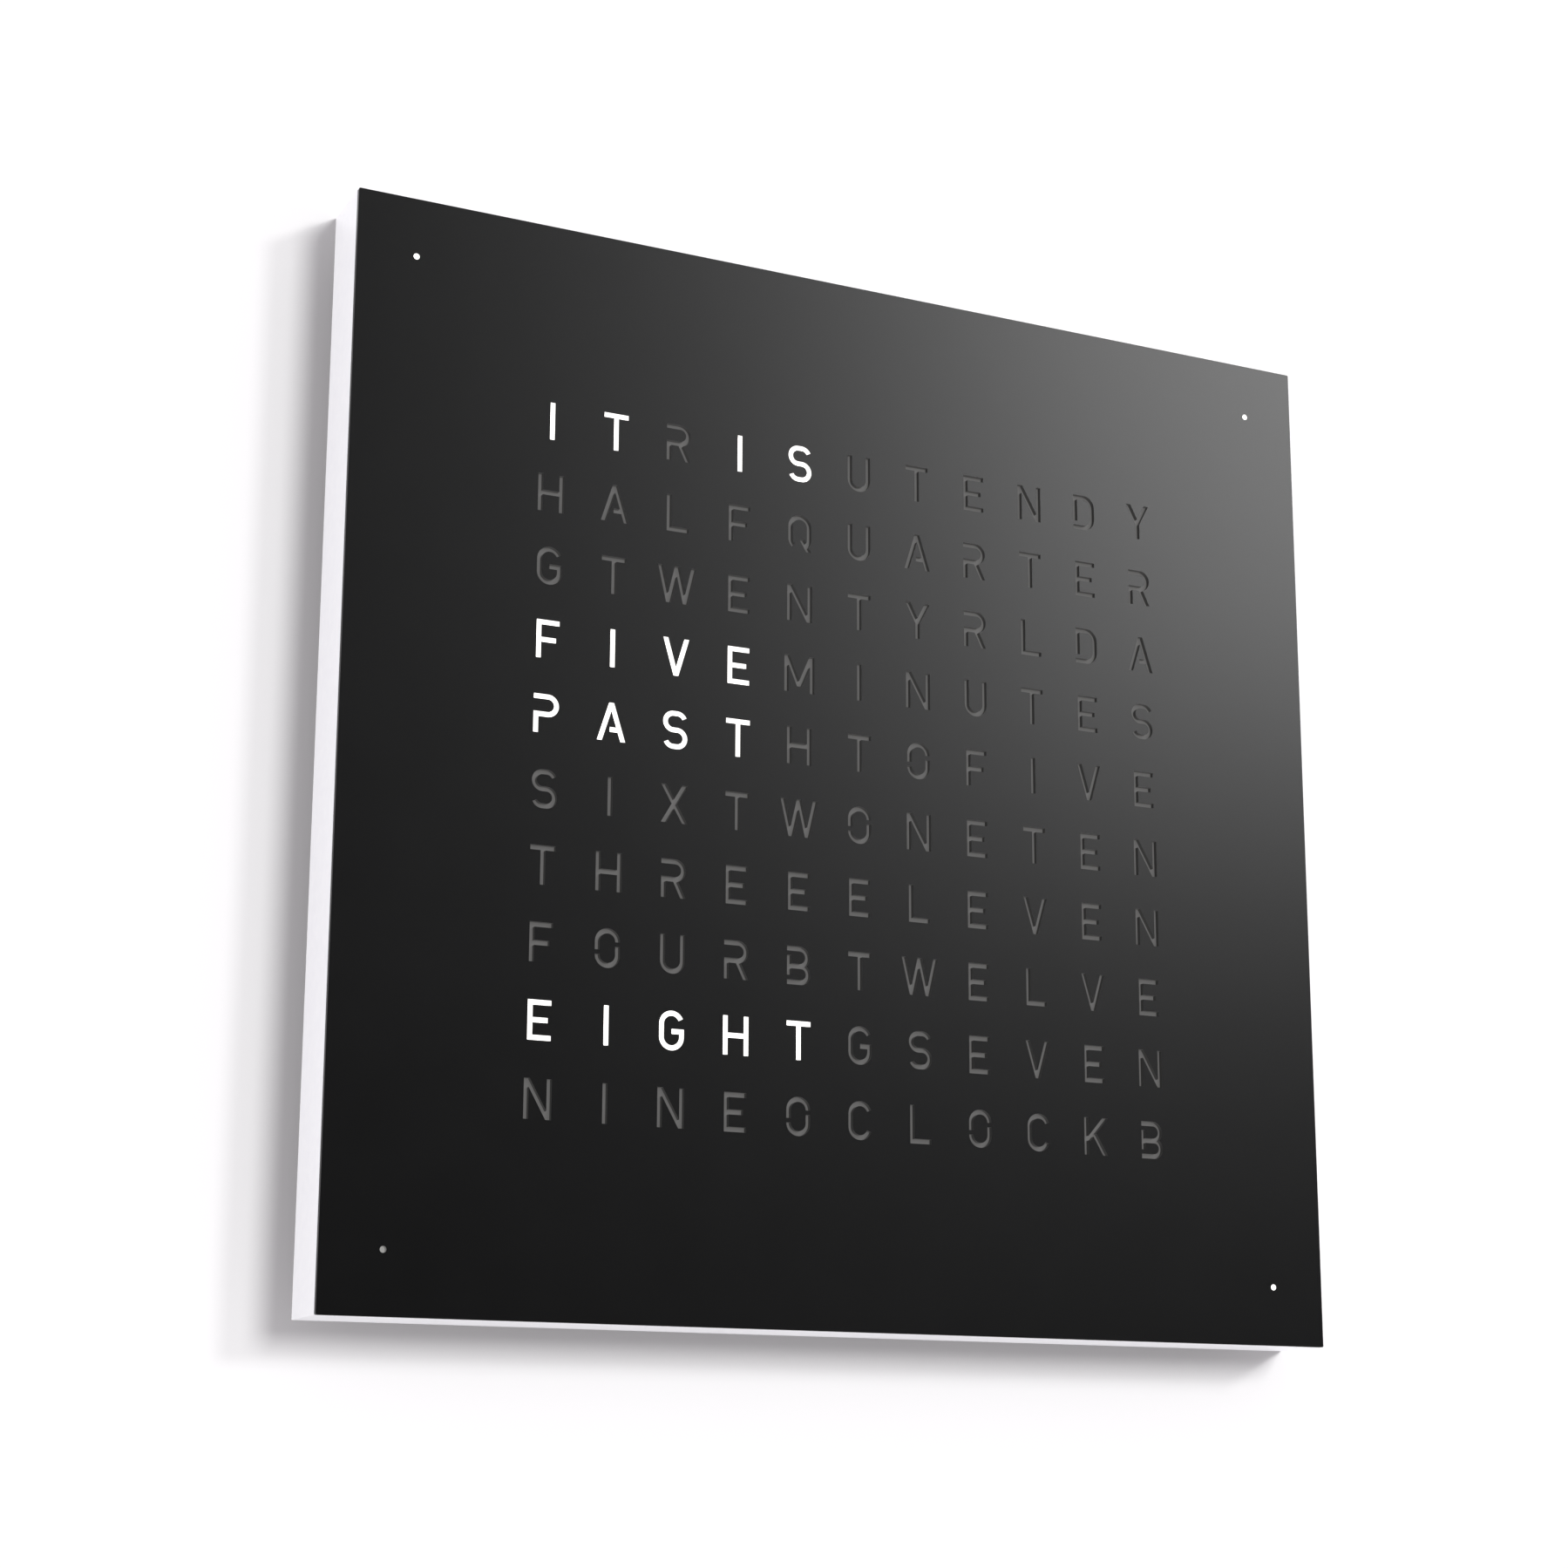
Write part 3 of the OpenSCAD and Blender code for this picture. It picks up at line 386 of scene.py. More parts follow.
def circuit_board():
    """Green solder mask over copper tracks, with tinned pads."""
    made, tree, shader = material("solder_mask")
    point = coordinates(tree)
    x, z = point["X"], point["Z"]
    flat = node(tree, "CombineXYZ", {"X": x, "Y": z}).outputs[0]
    fields = node(tree, "TexVoronoi", {"Vector": flat, "Scale": 1 / (34 * MM)},
                  distance="CHEBYCHEV", voronoi_dimensions="2D")
    field = node(tree, "SeparateColor", {0: fields.outputs["Color"]}).outputs[0]
    level = product(tree, board_tracks(tree, x, z), calc(tree, "GREATER_THAN", field, 0.55))
    upright = product(tree, board_tracks(tree, z, x), calc(tree, "LESS_THAN", field, 0.4))
    tracks = calc(tree, "MAXIMUM", level, upright)
    pads = node(tree, "TexVoronoi", {"Vector": flat, "Scale": 1 / (11 * MM), "Randomness": 0.9},
                voronoi_dimensions="2D")
    pad = spread(tree, pads.outputs["Distance"], 1, 0, 0.030, 0.040)
    mask = blend_colours(tree, tracks, rgb(0.007, 0.070, 0.028), rgb(0.013, 0.115, 0.042))
    tint(tree, shader, pad, mask, rgb(0.62, 0.61, 0.58))
    feed(tree, shader.inputs["Metallic"], pad)
    roughen(tree, shader, noise(tree, 0.5 * MM), 0.28, 0.4)
    bump(tree, shader, plus(tree, tracks, pad), 0.035 * MM)
    return made


MATERIALS = {
    "cover_steel": cover_paint(),
    "case_lacquer": lacquer(),
    "smoked_acrylic": diffuser_sheet(),
    "circuit_board": circuit_board(),
    "bracket_zinc": spangled_zinc(),
    "keyhole_steel": spangled_zinc(),
    "panel_aluminium": coated("panel_coat", rgb(0.74, 0.74, 0.75), 0.5, 0.8 * MM, 0.05 * MM, 0.02),
    "cable_grey": coated("cable_sheath", rgb(0.36, 0.37, 0.38), 0.5, 0.4 * MM, 0.006 * MM, 0.04),
    "led_case": coated("led_case", rgb(0.80, 0.80, 0.79), 0.42, 0.3 * MM, 0.004 * MM, 0.02),
    "baffle_plastic": coated("baffle_plastic", rgb(0.80, 0.80, 0.78), 0.55, 0.4 * MM, 0.01 * MM, 0.02),
    "well_plastic": coated("well_plastic", rgb(0.018, 0.018, 0.019), 0.45, 0.6 * MM, 0.05 * MM),
    "jack_plastic": coated("jack_plastic", rgb(0.006, 0.006, 0.007), 0.28, 0.3 * MM, 0.003 * MM),
    "chip_black": coated("chip_black", rgb(0.010, 0.010, 0.011), 0.5, 0.2 * MM, 0.008 * MM),
    "header_ivory": coated("header_ivory", rgb(0.68, 0.62, 0.46), 0.45, 0.3 * MM, 0.004 * MM),
    "lead_sheath": coated("lead_sheath", rgb(0.36, 0.012, 0.010), 0.42, 0.3 * MM, 0.004 * MM),
    "inductor_ferrite": coated("inductor_ferrite", rgb(0.022, 0.022, 0.024), 0.6, 0.25 * MM, 0.015 * MM),
    "stud_steel": metal("stud_steel", rgb(0.60, 0.61, 0.63), 0.28, 0.2, (1, 0.15, 1), metallic=0.85),
    "screw_steel": metal("screw_steel", rgb(0.42, 0.42, 0.43), 0.28, 0.2, depth=0.01, metallic=0.85),
    "magnet_nickel": metal("magnet_nickel", rgb(0.60, 0.58, 0.54), 0.26, 0.3, metallic=0.75),
    "rivet_aluminium": metal("rivet_aluminium", rgb(0.50, 0.50, 0.51), 0.34, 0.25,
                             depth=0.01, metallic=0.85),
    "jack_nickel": metal("jack_nickel", rgb(0.66, 0.64, 0.60), 0.15, 0.2),
    "standoff_brass": metal("standoff_brass", rgb(0.62, 0.42, 0.13), 0.25, 0.2, (1, 0.2, 1)),
    "crystal_can": metal("crystal_can", rgb(0.62, 0.62, 0.63), 0.22, 0.3, (0.2, 1, 1)),
    "capacitor_can": metal("capacitor_can", rgb(0.66, 0.68, 0.71), 0.3, 0.2),
    "cell_steel": metal("cell_steel", rgb(0.66, 0.66, 0.67), 0.22, 0.3, (0.15, 1, 1)),
    "button_metal": turned_metal(),
}
PHOSPHOR = coated("led_phosphor", rgb(0.80, 0.62, 0.14), 0.3, 0.15 * MM, 0.006 * MM)


def wear(thing, paint):
    thing.data.materials.clear()
    thing.data.materials.append(paint)


SLOTS = {row["node"]: row["material_slot"] for row in frame["record"]["subparts"]}
BODIES = {name: thing["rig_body"] for name, thing in nodes.items()}
for name, thing in nodes.items():
    wear(thing, MATERIALS[SLOTS[name]])

# ---- Building pieces ----

SHARP = math.radians(35)  # an edge that turns more than this isn't shaded smoothly
FLAT = math.radians(0.3)  # sides that turn less than this become one
MERGE = 0.001 * MM  # points closer than this become one


def harden(mesh):
    """Shades each small facet of a rounded edge smoothly and leaves the large flat sides flat."""
    around = {}
    for face in mesh.polygons:
        for corner in face.vertices:
            around.setdefault(corner, []).append(face)
    limit = math.cos(SHARP)
    normals = []
    for face in mesh.polygons:
        for corner in face.vertices:
            smooth = [other.normal * other.area for other in around[corner]
                      if other.normal.dot(face.normal) > limit]
            normals.append(sum(smooth, Vector()).normalized())
    mesh.polygons.foreach_set("use_smooth", [True] * len(mesh.polygons))
    mesh.normals_split_custom_set(normals)


def stand_in(shape, piece_name, name, slot=None, paint=None):
    """Turns a shape into a piece that stands for a CAD node, in the node's finish or in another slot's."""
    slot = slot or SLOTS[name]
    bmesh.ops.remove_doubles(shape, verts=shape.verts, dist=MERGE)
    bmesh.ops.recalc_face_normals(shape, faces=shape.faces)
    mesh = bpy.data.meshes.new(piece_name)
    shape.to_mesh(mesh)
    shape.free()
    harden(mesh)
    piece = bpy.data.objects.new(piece_name, mesh)
    bpy.context.collection.objects.link(piece)
    wear(piece, paint or MATERIALS[slot])
    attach(piece, BODIES[name])
    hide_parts(name)
    return piece


def cleaned(name):
    """A CAD node's shape, with its flat sides whole."""
    shape = bmesh.new()
    shape.from_mesh(nodes[name].data)
    bmesh.ops.remove_doubles(shape, verts=shape.verts, dist=MERGE)
    bmesh.ops.dissolve_limit(shape, angle_limit=FLAT, verts=shape.verts, edges=shape.edges)
    return shape


def rounded(name, piece_name, rounds):
    """Stands in for a CAD node with some of its edges rounded.

    rounds: (test of an edge's ends, radius, segments).
    """
    shape = cleaned(name)
    for picked, radius, segments in rounds:
        edges = [e for e in shape.edges if len(e.link_faces) == 2 and e.calc_face_angle() > SHARP
                 and picked(e.verts[0].co, e.verts[1].co)]
        bmesh.ops.bevel(shape, geom=edges, offset=radius, segments=segments, profile=0.5, affect="EDGES",
                        clamp_overlap=True)
    return stand_in(shape, piece_name, name)


def lumps(name):
    """The lowest and highest corners of each of a CAD node's solids."""
    shape = cleaned(name)
    boxes, seen = [], set()
    for first in shape.verts:
        if first in seen:
            continue
        seen.add(first)
        lump = [first]
        for vert in lump:
            for edge in vert.link_edges:
                other = edge.other_vert(vert)
                if other not in seen:
                    seen.add(other)
                    lump.append(other)
        boxes.append([Vector([pick(vert.co[i] for vert in lump) for i in range(3)]) for pick in (min, max)])
    shape.free()
    return boxes


def outline(half_u, half_v, corner, steps=4):
    """A rounded rectangle about the origin, or a circle where corner is as large as its halves."""
    points = []
    for quarter, (side_u, side_v) in enumerate(((1, 1), (-1, 1), (-1, -1), (1, -1))):
        for step in range(steps + 1):
            turn = math.radians(90 * (quarter + step / steps))
            points.append((side_u * (half_u - corner) + corner * math.cos(turn),
                           side_v * (half_v - corner) + corner * math.sin(turn)))
    return points


def disc(radius):
    return outline(radius, radius, radius, 8)


def skin(shape, rings):
    """Joins rings of points, each to the next, and caps the first and the last."""
    rings = [[shape.verts.new(point) for point in ring] for ring in rings]
    for ring, following in zip(rings, rings[1:]):
        for i in range(len(ring)):
            j = (i + 1) % len(ring)
            shape.faces.new((ring[i], ring[j], following[j], following[i]))
    for ring in (rings[0], rings[-1]):
        shape.faces.new(ring)


def stacked(shape, at, levels):
    """Skins a body from levels of (outline, height). at places (across X, along Z, height) in the frame."""
    skin(shape, [[at(u, v, height) for u, v in points] for points, height in levels])


def standing(low, high, outward):
    """Places points in a box that stands on a board: outward is its top's direction along Y."""
    middle = (low + high) / 2
    foot = low.y if outward > 0 else high.y
    return lambda u, v, height: Vector((middle.x + u, foot + outward * height, middle.z + v))


NEAR = 0.01 * MM
cover_low, cover_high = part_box("front_cover")
HALF = cover_high.x


def on_outline(v):
    return max(abs(v.x), abs(v.z)) > HALF - NEAR


def is_corner_edge(a, b):
    """Runs front to back at one of the four corners."""
    return all(abs(v.x) > HALF - NEAR and abs(v.z) > HALF - NEAR for v in (a, b)) and abs(a.y - b.y) > NEAR


def is_front_outline(a, b):
    return all(v.y < cover_low.y + NEAR and on_outline(v) for v in (a, b))


def is_at_wall(a, b):
    return all(v.y > -NEAR for v in (a, b))


def is_rail_outline(a, b):
    """An outer long edge of a rail, at its front or at the wall."""
    return all(on_outline(v) for v in (a, b)) and abs(a.y - b.y) < NEAR and (a - b).length > 100 * MM


rounded("front_cover", "cover_plate", [(is_corner_edge, 0.7 * MM, 5), (is_front_outline, 0.2 * MM, 2)])
rounded("rear_panel", "back_plate", [(is_at_wall, 0.12 * MM, 2)])
for side in ("left", "right", "top", "bottom"):
    piece = rounded(side + "_rail", side + "_side", [(is_rail_outline, 0.35 * MM, 3)])
    # The shadow on the wall lies beside the left and bottom sides, whose reflected light would wash it out
    piece.visible_diffuse = side in ("right", "top")

# ---- Small parts ----

FRONT, REAR = -1, 1  # which way a part's top looks along Y


def small_parts(name, piece_name, build, outward=FRONT, **finish):
    """Builds one finer part in the place of each of a node's solids.

    build takes (shape, at, half X, half Z, height). outward is FRONT or REAR, or a function that tells
    which from a solid's lowest corner.
    """
    shape = bmesh.new()
    for low, high in lumps(name):
        size = high - low
        side = outward(low) if callable(outward) else outward
        build(shape, standing(low, high, side), size.x / 2, size.z / 2, size.y)
    stand_in(shape, piece_name, name, **finish)


LED_CUP = 0.76  # the cup's radius, as a share of half the package
LED_SINK = 0.4 * MM  # the cup's depth


def led_body(shape, at, half_u, half_v, height):
    """A square package with a round cup in its top."""
    edge, lip, corner, cup = 0.12 * MM, 0.08 * MM, 0.4 * MM, LED_CUP * half_u
    stacked(shape, at, [
        (outline(half_u - edge, half_v - edge, corner, 8), 0),
        (outline(half_u, half_v, corner, 8), edge),
        (outline(half_u, half_v, corner, 8), height - edge),
        (outline(half_u - edge, half_v - edge, corner, 8), height),
        (disc(cup + lip), height),
        (disc(cup), height - lip),
        (disc(0.86 * cup), height - LED_SINK)])


def led_window(shape, at, half_u, half_v, height):
    """The phosphor in the cup, its top slightly domed."""
    cup, top = LED_CUP * half_u, height - 0.12 * MM
    stacked(shape, at, [
        (disc(0.8 * cup), height - LED_SINK - 0.1 * MM),
        (disc(0.93 * cup), top - 0.05 * MM),
        (disc(0.75 * cup), top - 0.01 * MM),
        (disc(0.4 * cup), top)])


CHIP_LEG = 0.9 * MM  # how far a leg stands out


def leg(shape, at, across, foot, shoulder, width):
    """A gull-wing leg. at places (outwards, along the row, height); foot is how far out it ends."""
    thickness = 0.18 * MM
    low = thickness / 2
    path = [(-0.2 * MM, shoulder), (0.3 * foot, shoulder), (0.5 * foot, low), (foot, low)]
    normals = []
    for a, b in zip(path, path[1:]):
        length = math.dist(a, b)
        normals.append(Vector(((a[1] - b[1]) / length, (b[0] - a[0]) / length)))
    rings = []
    for i, place in enumerate(path):
        lean = (normals[max(i - 1, 0)] + normals[min(i, len(normals) - 1)]).normalized() * thickness / 2
        rings.append([at(place[0] + side * lean[0], across + end * width / 2, place[1] + side * lean[1])
                      for side, end in ((-1, -1), (-1, 1), (1, 1), (1, -1))])
    skin(shape, rings)


def chip_body(legs_u, legs_v):
    """A moulded body with a step at its waist and a pin-one dot, inside its legs."""
    def build(shape, at, half_u, half_v, height):
        u, v = half_u - (CHIP_LEG if legs_u else 0), half_v - (CHIP_LEG if legs_v else 0)
        lift, waist, draft, edge, corner = 0.1 * MM, 0.5 * height, 0.12 * MM, 0.1 * MM, 0.15 * MM
        stacked(shape, at, [
            (outline(u - draft, v - draft, corner), lift),
            (outline(u, v, corner), waist - 0.05 * MM),
            (outline(u, v, corner), waist + 0.05 * MM),
            (outline(u - draft, v - draft, corner), height - edge),
            (outline(u - draft - edge, v - draft - edge, corner), height)])
        dot, inset = 0.35 * MM, 0.9 * MM
        stacked(shape, lambda a, b, h: at(a - u + inset, b + v - inset, h), [
            (disc(dot), height - edge),
            (disc(dot), height + 0.01 * MM),
            (disc(0.8 * dot), height + 0.02 * MM)])
    return build


def chip_legs(legs_u, legs_v, pitch, width):
    """legs_u and legs_v: how many stand on each side that looks along X and along Z."""
    def build(shape, at, half_u, half_v, height):
        for side in (-1, 1):
            for count, place in (
                    (legs_u, lambda out, row, h: at(side * (half_u - CHIP_LEG + out), row, h)),
                    (legs_v, lambda out, row, h: at(row, side * (half_v - CHIP_LEG + out), h))):
                for i in range(count):
                    leg(shape, place, (i - (count - 1) / 2) * pitch, CHIP_LEG, 0.5 * height, width)
    return build


def header_body(shape, at, half_u, half_v, height):
    """A shrouded header with its plug and the plug's strain-relief bar."""
    edge, step = 0.2 * MM, 0.6 * MM
    shroud, plug = 0.55 * height, 0.82 * height
    u, v = half_u - 2 * step, half_v - 1.5 * step
    stacked(shape, at, [
        (outline(half_u, half_v, 0.3 * MM), 0),
        (outline(half_u, half_v, 0.3 * MM), shroud - edge),
        (outline(half_u - edge, half_v - edge, 0.3 * MM), shroud),
        (outline(half_u - step, half_v - step, 0.5 * MM), shroud),
        (outline(half_u - step, half_v - step, 0.5 * MM), plug),
        (outline(u, v, 0.5 * MM), plug),
        (outline(u, v, 0.5 * MM), height - edge),
        (outline(u - edge, v - edge, 0.5 * MM), height)])


def capacitor(shape, at, half_u, half_v, height):
    """A can with a rolled groove, on its square base."""
    base, can = 0.9 * MM, half_u - 0.3 * MM
    stacked(shape, at, [
        (outline(half_u, half_v, 1.0 * MM, 8), 0),
        (outline(half_u, half_v, 1.0 * MM, 8), base),
        (disc(can), base),
        (disc(can), base + 0.6 * MM),
        (disc(can - 0.25 * MM), base + 0.85 * MM),
        (disc(can - 0.25 * MM), base + 1.1 * MM),
        (disc(can), base + 1.35 * MM),
        (disc(can), height - 0.5 * MM),
        (disc(can - 0.15 * MM), height - 0.15 * MM),
        (disc(can - 0.5 * MM), height),
        (disc(can - 0.9 * MM), height),
        (disc(can - 1.1 * MM), height - 0.12 * MM)])


def inductor(shape, at, half_u, half_v, height):
    """A drum core: two flanges about its winding's sleeve, and a centring dimple."""
    flange, waist, edge = 1.1 * MM, half_u - 0.7 * MM, 0.25 * MM
    stacked(shape, at, [
        (disc(half_u - edge), 0),
        (disc(half_u), edge),
        (disc(half_u), flange),
        (disc(waist), flange + edge),
        (disc(waist), height - flange - edge),
        (disc(half_u), height - flange),
        (disc(half_u), height - edge),
        (disc(half_u - edge), height),
        (disc(1.2 * MM), height),
        (disc(0.9 * MM), height - 0.5 * MM)])


def crystal(shape, at, half_u, half_v, height):
    """A drawn can with round ends on its welded flange."""
    flange, inset = 0.45 * MM, 0.4 * MM
    u, v = half_u - inset, half_v - inset
    stacked(shape, at, [
        (outline(half_u, half_v, half_v, 8), 0),
        (outline(half_u, half_v, half_v, 8), flange),
        (outline(u, v, v, 8), flange),
        (outline(u, v, v, 8), height - 0.35 * MM),
        (outline(u - 0.12 * MM, v - 0.12 * MM, v - 0.12 * MM, 8), height - 0.1 * MM),
        (outline(u - 0.4 * MM, v - 0.4 * MM, v - 0.4 * MM, 8), height)])


def coin(shape, at, half_u, half_v, height):
    """A coin cell: its can rolled over the smaller cap."""
    cap, fold = 0.88 * half_u, 0.75 * height
    stacked(shape, at, [
        (disc(half_u - 0.3 * MM), 0),
        (disc(half_u), 0.3 * MM),
        (disc(half_u), fold),
        (disc(half_u - 0.15 * MM), fold + 0.2 * MM),
        (disc(half_u - 0.5 * MM), fold + 0.3 * MM),
        (disc(cap), fold + 0.25 * MM),
        (disc(cap), height - 0.25 * MM),
        (disc(cap - 0.25 * MM), height)])


def rivet(shape, at, half_u, half_v, height):
    """A blind rivet: its sunk end with the broken pin's hollow, its shank, and its set head inside."""
    shank, head = 1.2 * MM, 1.0 * MM
    stacked(shape, at, [
        (disc(0.5 * MM), 0.45 * MM),
        (disc(0.55 * MM), 0.05 * MM),
        (disc(0.62 * MM), 0),
        (disc(shank - 0.08 * MM), 0),
        (disc(shank), 0.08 * MM),
        (disc(shank), height - head),
        (disc(half_u), height - head),
        (disc(half_u), height - 0.5 * head),
        (disc(0.8 * half_u), height - 0.1 * head),
        (disc(0.5 * half_u), height)])


def magnet(shape, at, half_u, half_v, height):
    """A disc magnet with rounded rims."""
    edge = 0.35 * MM
    stacked(shape, at, [
        (disc(half_u - edge), 0),
        (disc(half_u), edge),
        (disc(half_u), height - edge),
        (disc(half_u - 0.3 * edge), height - 0.3 * edge),
        (disc(half_u - edge), height)])


for kind in ("letter", "minute"):
    small_parts(kind + "_leds", kind + "_led_cases", led_body)
    small_parts(kind + "_leds", kind + "_led_windows", led_window, paint=PHOSPHOR)
# Each chip: its node, the way its top looks, its legs along X and along Z on a side, their pitch and width
CHIPS = [
    ("microcontroller", FRONT, 8, 8, 0.8 * MM, 0.35 * MM),
    ("timekeeper_chip", FRONT, 0, 4, 1.27 * MM, 0.42 * MM),
    ("voltage_regulator", FRONT, 0, 4, 2.2 * MM, 0.9 * MM),
    ("led_drivers", REAR, 0, 11, 0.65 * MM, 0.28 * MM),
]
for name, outward, legs_u, legs_v, pitch, width in CHIPS:
    small_parts(name, name + "_bodies", chip_body(legs_u, legs_v), outward)
    small_parts(name, name + "_legs", chip_legs(legs_u, legs_v, pitch, width), outward, slot="jack_nickel")
small_parts("smoothing_capacitors", "capacitor_cans", capacitor)
small_parts("power_inductor", "drum_inductor", inductor)
small_parts("clock_crystal", "crystal_case", crystal)
small_parts("coin_cell", "cell", coin)
small_parts("power_header", "power_socket", header_body)
small_parts("cover_magnets", "magnets", magnet)
for name in ("keyhole_rivets", "well_rivets"):
    small_parts(name, "sunk_" + name, rivet)


BOARD_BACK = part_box("led_drivers")[0].y


def ribbon_side(low):
    """The upper header hangs on the back of the LED board, the lower one stands on the control board."""
    return REAR if low.y < BOARD_BACK + NEAR else FRONT


small_parts("board_link_headers", "link_sockets", header_body, REAR)
small_parts("ribbon_headers", "ribbon_sockets", header_body, ribbon_side)

CORE = 1.0 * MM  # the pitch of a flat cable's cores


def ribbed(name, piece_name, depth):
    """A flat cable with a groove between its cores, which lie side by side across X."""
    shape = cleaned(name)
    low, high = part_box(name)
    cores = range(round((high.x - low.x) / CORE))
    places = [low.x + CORE * (core + share) for core in cores for share in (0.25, 0.75, 1)]
    for x in places[:-1]:
        bmesh.ops.bisect_plane(shape, geom=shape.verts[:] + shape.edges[:] + shape.faces[:], dist=MERGE,
                               plane_co=(x, 0, 0), plane_no=(1, 0, 0))
    shape.normal_update()
    moves = []
    for vert in shape.verts:
        along = (vert.co.x - low.x) / CORE
        if abs(along - round(along)) < 0.01:
            level = Vector((0, vert.normal.y, vert.normal.z)).normalized()
            moves.append((vert, level * -depth))
    for vert, move in moves:
        vert.co += move
    stand_in(shape, piece_name, name)


ribbed("ribbon_cable", "ribbon", 0.22 * MM)
ribbed("board_link_cable", "link_ribbon", 0.22 * MM)
ribbed("button_cable", "flex_cable", 0.06 * MM)

# ---- Stage: a wall that is seen only from its front, and a floor ----

FLOOR_Z = -1.2
WALL_HALF = 5.0
FLOOR_HALF = 7.0
WALL_GAP = 0.2 * MM  # between the clock and the wall


def flat_shape(name, corners, faces, paint):
    mesh = bpy.data.meshes.new(name)
    mesh.from_pydata(corners, [], faces)
    piece = bpy.data.objects.new(name, mesh)
    bpy.context.collection.objects.link(piece)
    mesh.materials.append(paint)
    return piece


def seen_ray(tree):
    """1 for what the camera sees directly, in gloss or through glass."""
    path = node(tree, "LightPath").outputs
    return calc(tree, "MAXIMUM", path["Is Camera Ray"],
                calc(tree, "MAXIMUM", path["Is Glossy Ray"], path["Is Transmission Ray"]))


def pale(name, colour, lift, one_sided=False):
    """A plain pale stage surface, which lift brings up to white where it is seen."""
    made, tree, shader = material(name)
    tree.nodes.remove(shader)
    body = node(tree, "BsdfDiffuse", {"Color": colour}).outputs[0]
    lifted = node(tree, "Emission", {"Strength": product(tree, seen_ray(tree), lift)}).outputs[0]
    surface = node(tree, "AddShader", {0: body, 1: lifted}).outputs[0]
    if one_sided:
        behind = node(tree, "NewGeometry").outputs["Backfacing"]
        clear = node(tree, "BsdfTransparent").outputs[0]
        surface = node(tree, "MixShader", {0: behind, 1: surface, 2: clear}).outputs[0]
    feed(tree, tree.nodes["Material Output"].inputs["Surface"], surface)
    return made


SQUARE = ((-1, -1), (1, -1), (1, 1), (-1, 1))
hole = HALF - 1 * MM  # the wall is open behind the case
around = [(x * hole, WALL_GAP, z * hole) for x, z in SQUARE]
around += [(x * WALL_HALF, WALL_GAP, WALL_HALF if z > 0 else FLOOR_Z) for x, z in SQUARE]
wall = flat_shape("wall", around, [(i + 4, (i + 1) % 4 + 4, (i + 1) % 4, i) for i in range(4)],
                  pale("wall_paint", rgb(0.98, 0.98, 0.98), lift=0.055, one_sided=True))
wall.visible_shadow = False  # the lamps behind it light the case's sides and back
wall.visible_diffuse = False  # it would overlight the sides
floor = flat_shape("floor", [(x * FLOOR_HALF, y * FLOOR_HALF, FLOOR_Z) for x, y in SQUARE],
                   [(0, 1, 2, 3)], pale("floor_paint", rgb(0.90, 0.90, 0.90), lift=0.29))
floor.visible_diffuse = False  # it would wash out the shadow on the wall
floor.visible_shadow = False

# ---- Lights ----


def sun(name, source, share, width):
    """A far lamp in the direction of source, width degrees wide.

    share: how bright it alone makes a white surface that faces it.
    """
    made = bpy.data.objects.new(name, bpy.data.lights.new(name, "SUN"))
    made.data.energy = share * math.pi
    made.data.angle = math.radians(width)
    look(made, Vector(source), Vector((0, 0, 0)))
    bpy.context.collection.objects.link(made)
    return made


def softbox(name, azimuth, elevation, distance, size, radiance):
    """A soft lamp that only gloss shows. azimuth 0 is straight ahead of the face."""
    made = bpy.data.objects.new(name, bpy.data.lights.new(name, "AREA"))
    made.data.shape = "RECTANGLE"
    made.data.size, made.data.size_y = size
    made.data.energy = radiance * math.pi * size[0] * size[1]
    turn, rise = math.radians(azimuth), math.radians(elevation)
    place = Vector((math.sin(turn) * math.cos(rise), -math.cos(turn) * math.cos(rise), math.sin(rise)))
    look(made, place * distance, Vector((0, 0, 0)))
    bpy.context.collection.objects.link(made)
    made.visible_diffuse = False


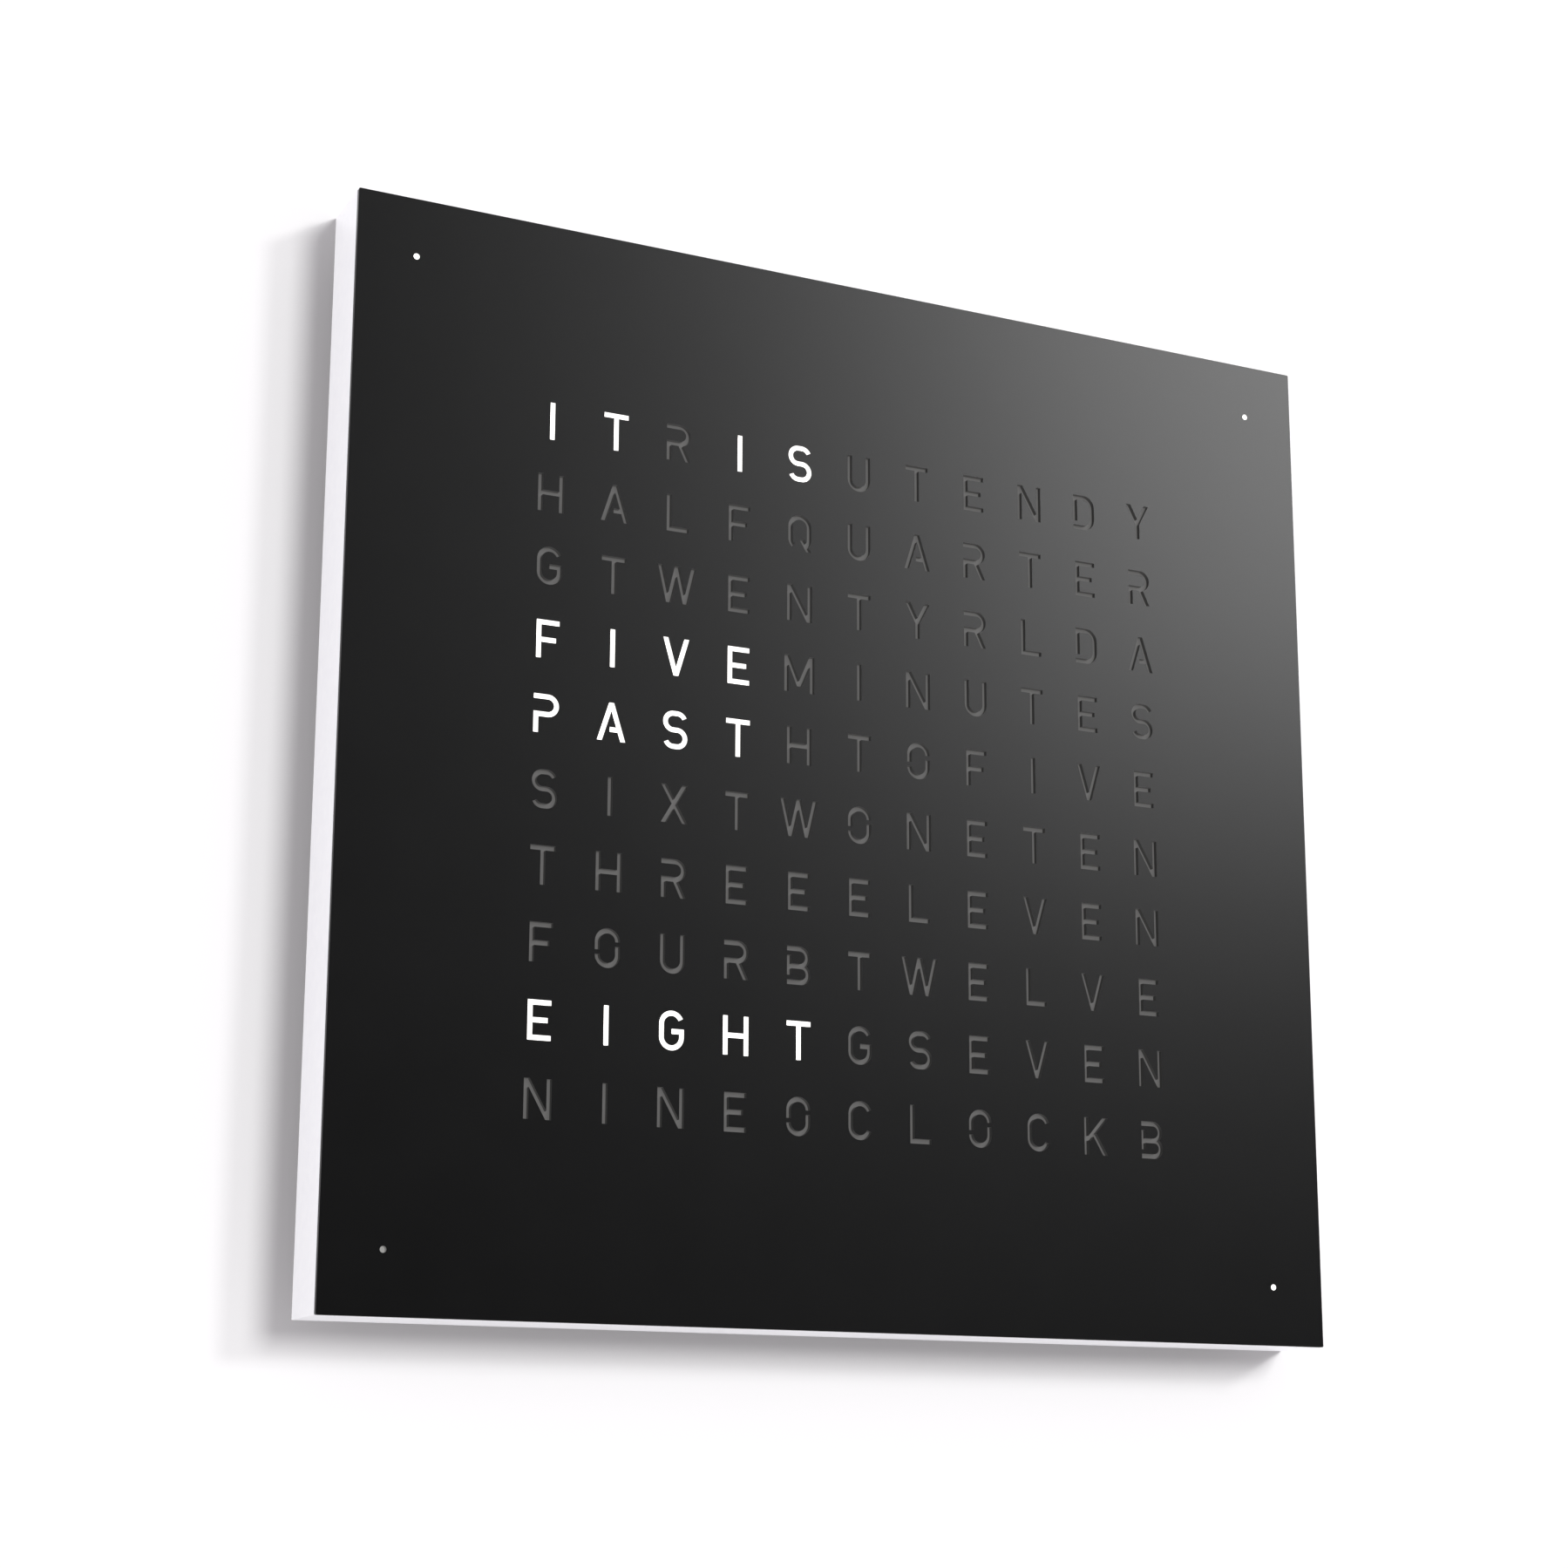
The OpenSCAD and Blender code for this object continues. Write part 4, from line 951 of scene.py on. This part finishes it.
# Lamps in front: how far left and down the case's front edge throws its shadow, how bright the lamp alone
# makes a white wall, and its width in degrees
DEPTH = -cover_low.y
FRONT_LAMPS = [
    ("key", 12 * MM, 9.5 * MM, 0.40, 20),
    ("side_key", 28 * MM, 16 * MM, 0.15, 9),
]
for name, left, down, share, width in FRONT_LAMPS:
    towards = Vector((left, -DEPTH, down)).normalized()
    sun(name, towards, share / -towards.y, width).visible_glossy = False
# Lamps behind the wall, which doesn't stop them
sun("rear_left", (-0.67, 0.30, -0.64), share=0.93, width=15)
sun("rear", (0.15, 0.95, 0.25), share=0.18, width=15)
# The sheen across the face, and one on the other side for views from there
softbox("glare", azimuth=47.4, elevation=35.2, distance=2.2, size=(1.13, 1.58), radiance=6.2)
softbox("strip", azimuth=-55, elevation=20, distance=2.2, size=(0.5, 1.6), radiance=4.0)

world = bpy.data.worlds.new("studio")
world.use_nodes = True
bpy.context.scene.world = world
AMBIENT = 0.47
AMBIENT_TINT = rgb(1, 0.955, 1)
sky = world.node_tree
seen = seen_ray(sky)
background = sky.nodes["Background"]
feed(sky, background.inputs["Color"], blend_colours(sky, seen, AMBIENT_TINT, rgb(1, 1, 1)))
feed(sky, background.inputs["Strength"], spread(sky, seen, AMBIENT, 1.0, 0, 1))

# A dark flag in front of the clock, which only gloss shows: the black face has something dark to mirror.
# It lies on the floor from near the clock and stands up further out
FLAG_NEAR, FLAG_FAR = -0.8, -3.5
FLAG_HALF, FLAG_TOP = 7, 6
FLAG_FOOT = FLOOR_Z + 10 * MM
FLAG_LINES = ((FLAG_NEAR, FLAG_FOOT), (FLAG_FAR, FLAG_FOOT), (FLAG_FAR, FLAG_TOP))
flag_paint, _, flag_shader = material("flag_cloth")
flag_shader.inputs["Base Color"].default_value = rgb(0.01, 0.01, 0.01)
flag_shader.inputs["Specular IOR Level"].default_value = 0.1
flag = flat_shape("flag", [(x * FLAG_HALF, y, z) for y, z in FLAG_LINES for x in (-1, 1)],
                  [(0, 1, 3, 2), (2, 3, 5, 4)], flag_paint)
flag.visible_camera = flag.visible_diffuse = flag.visible_shadow = False
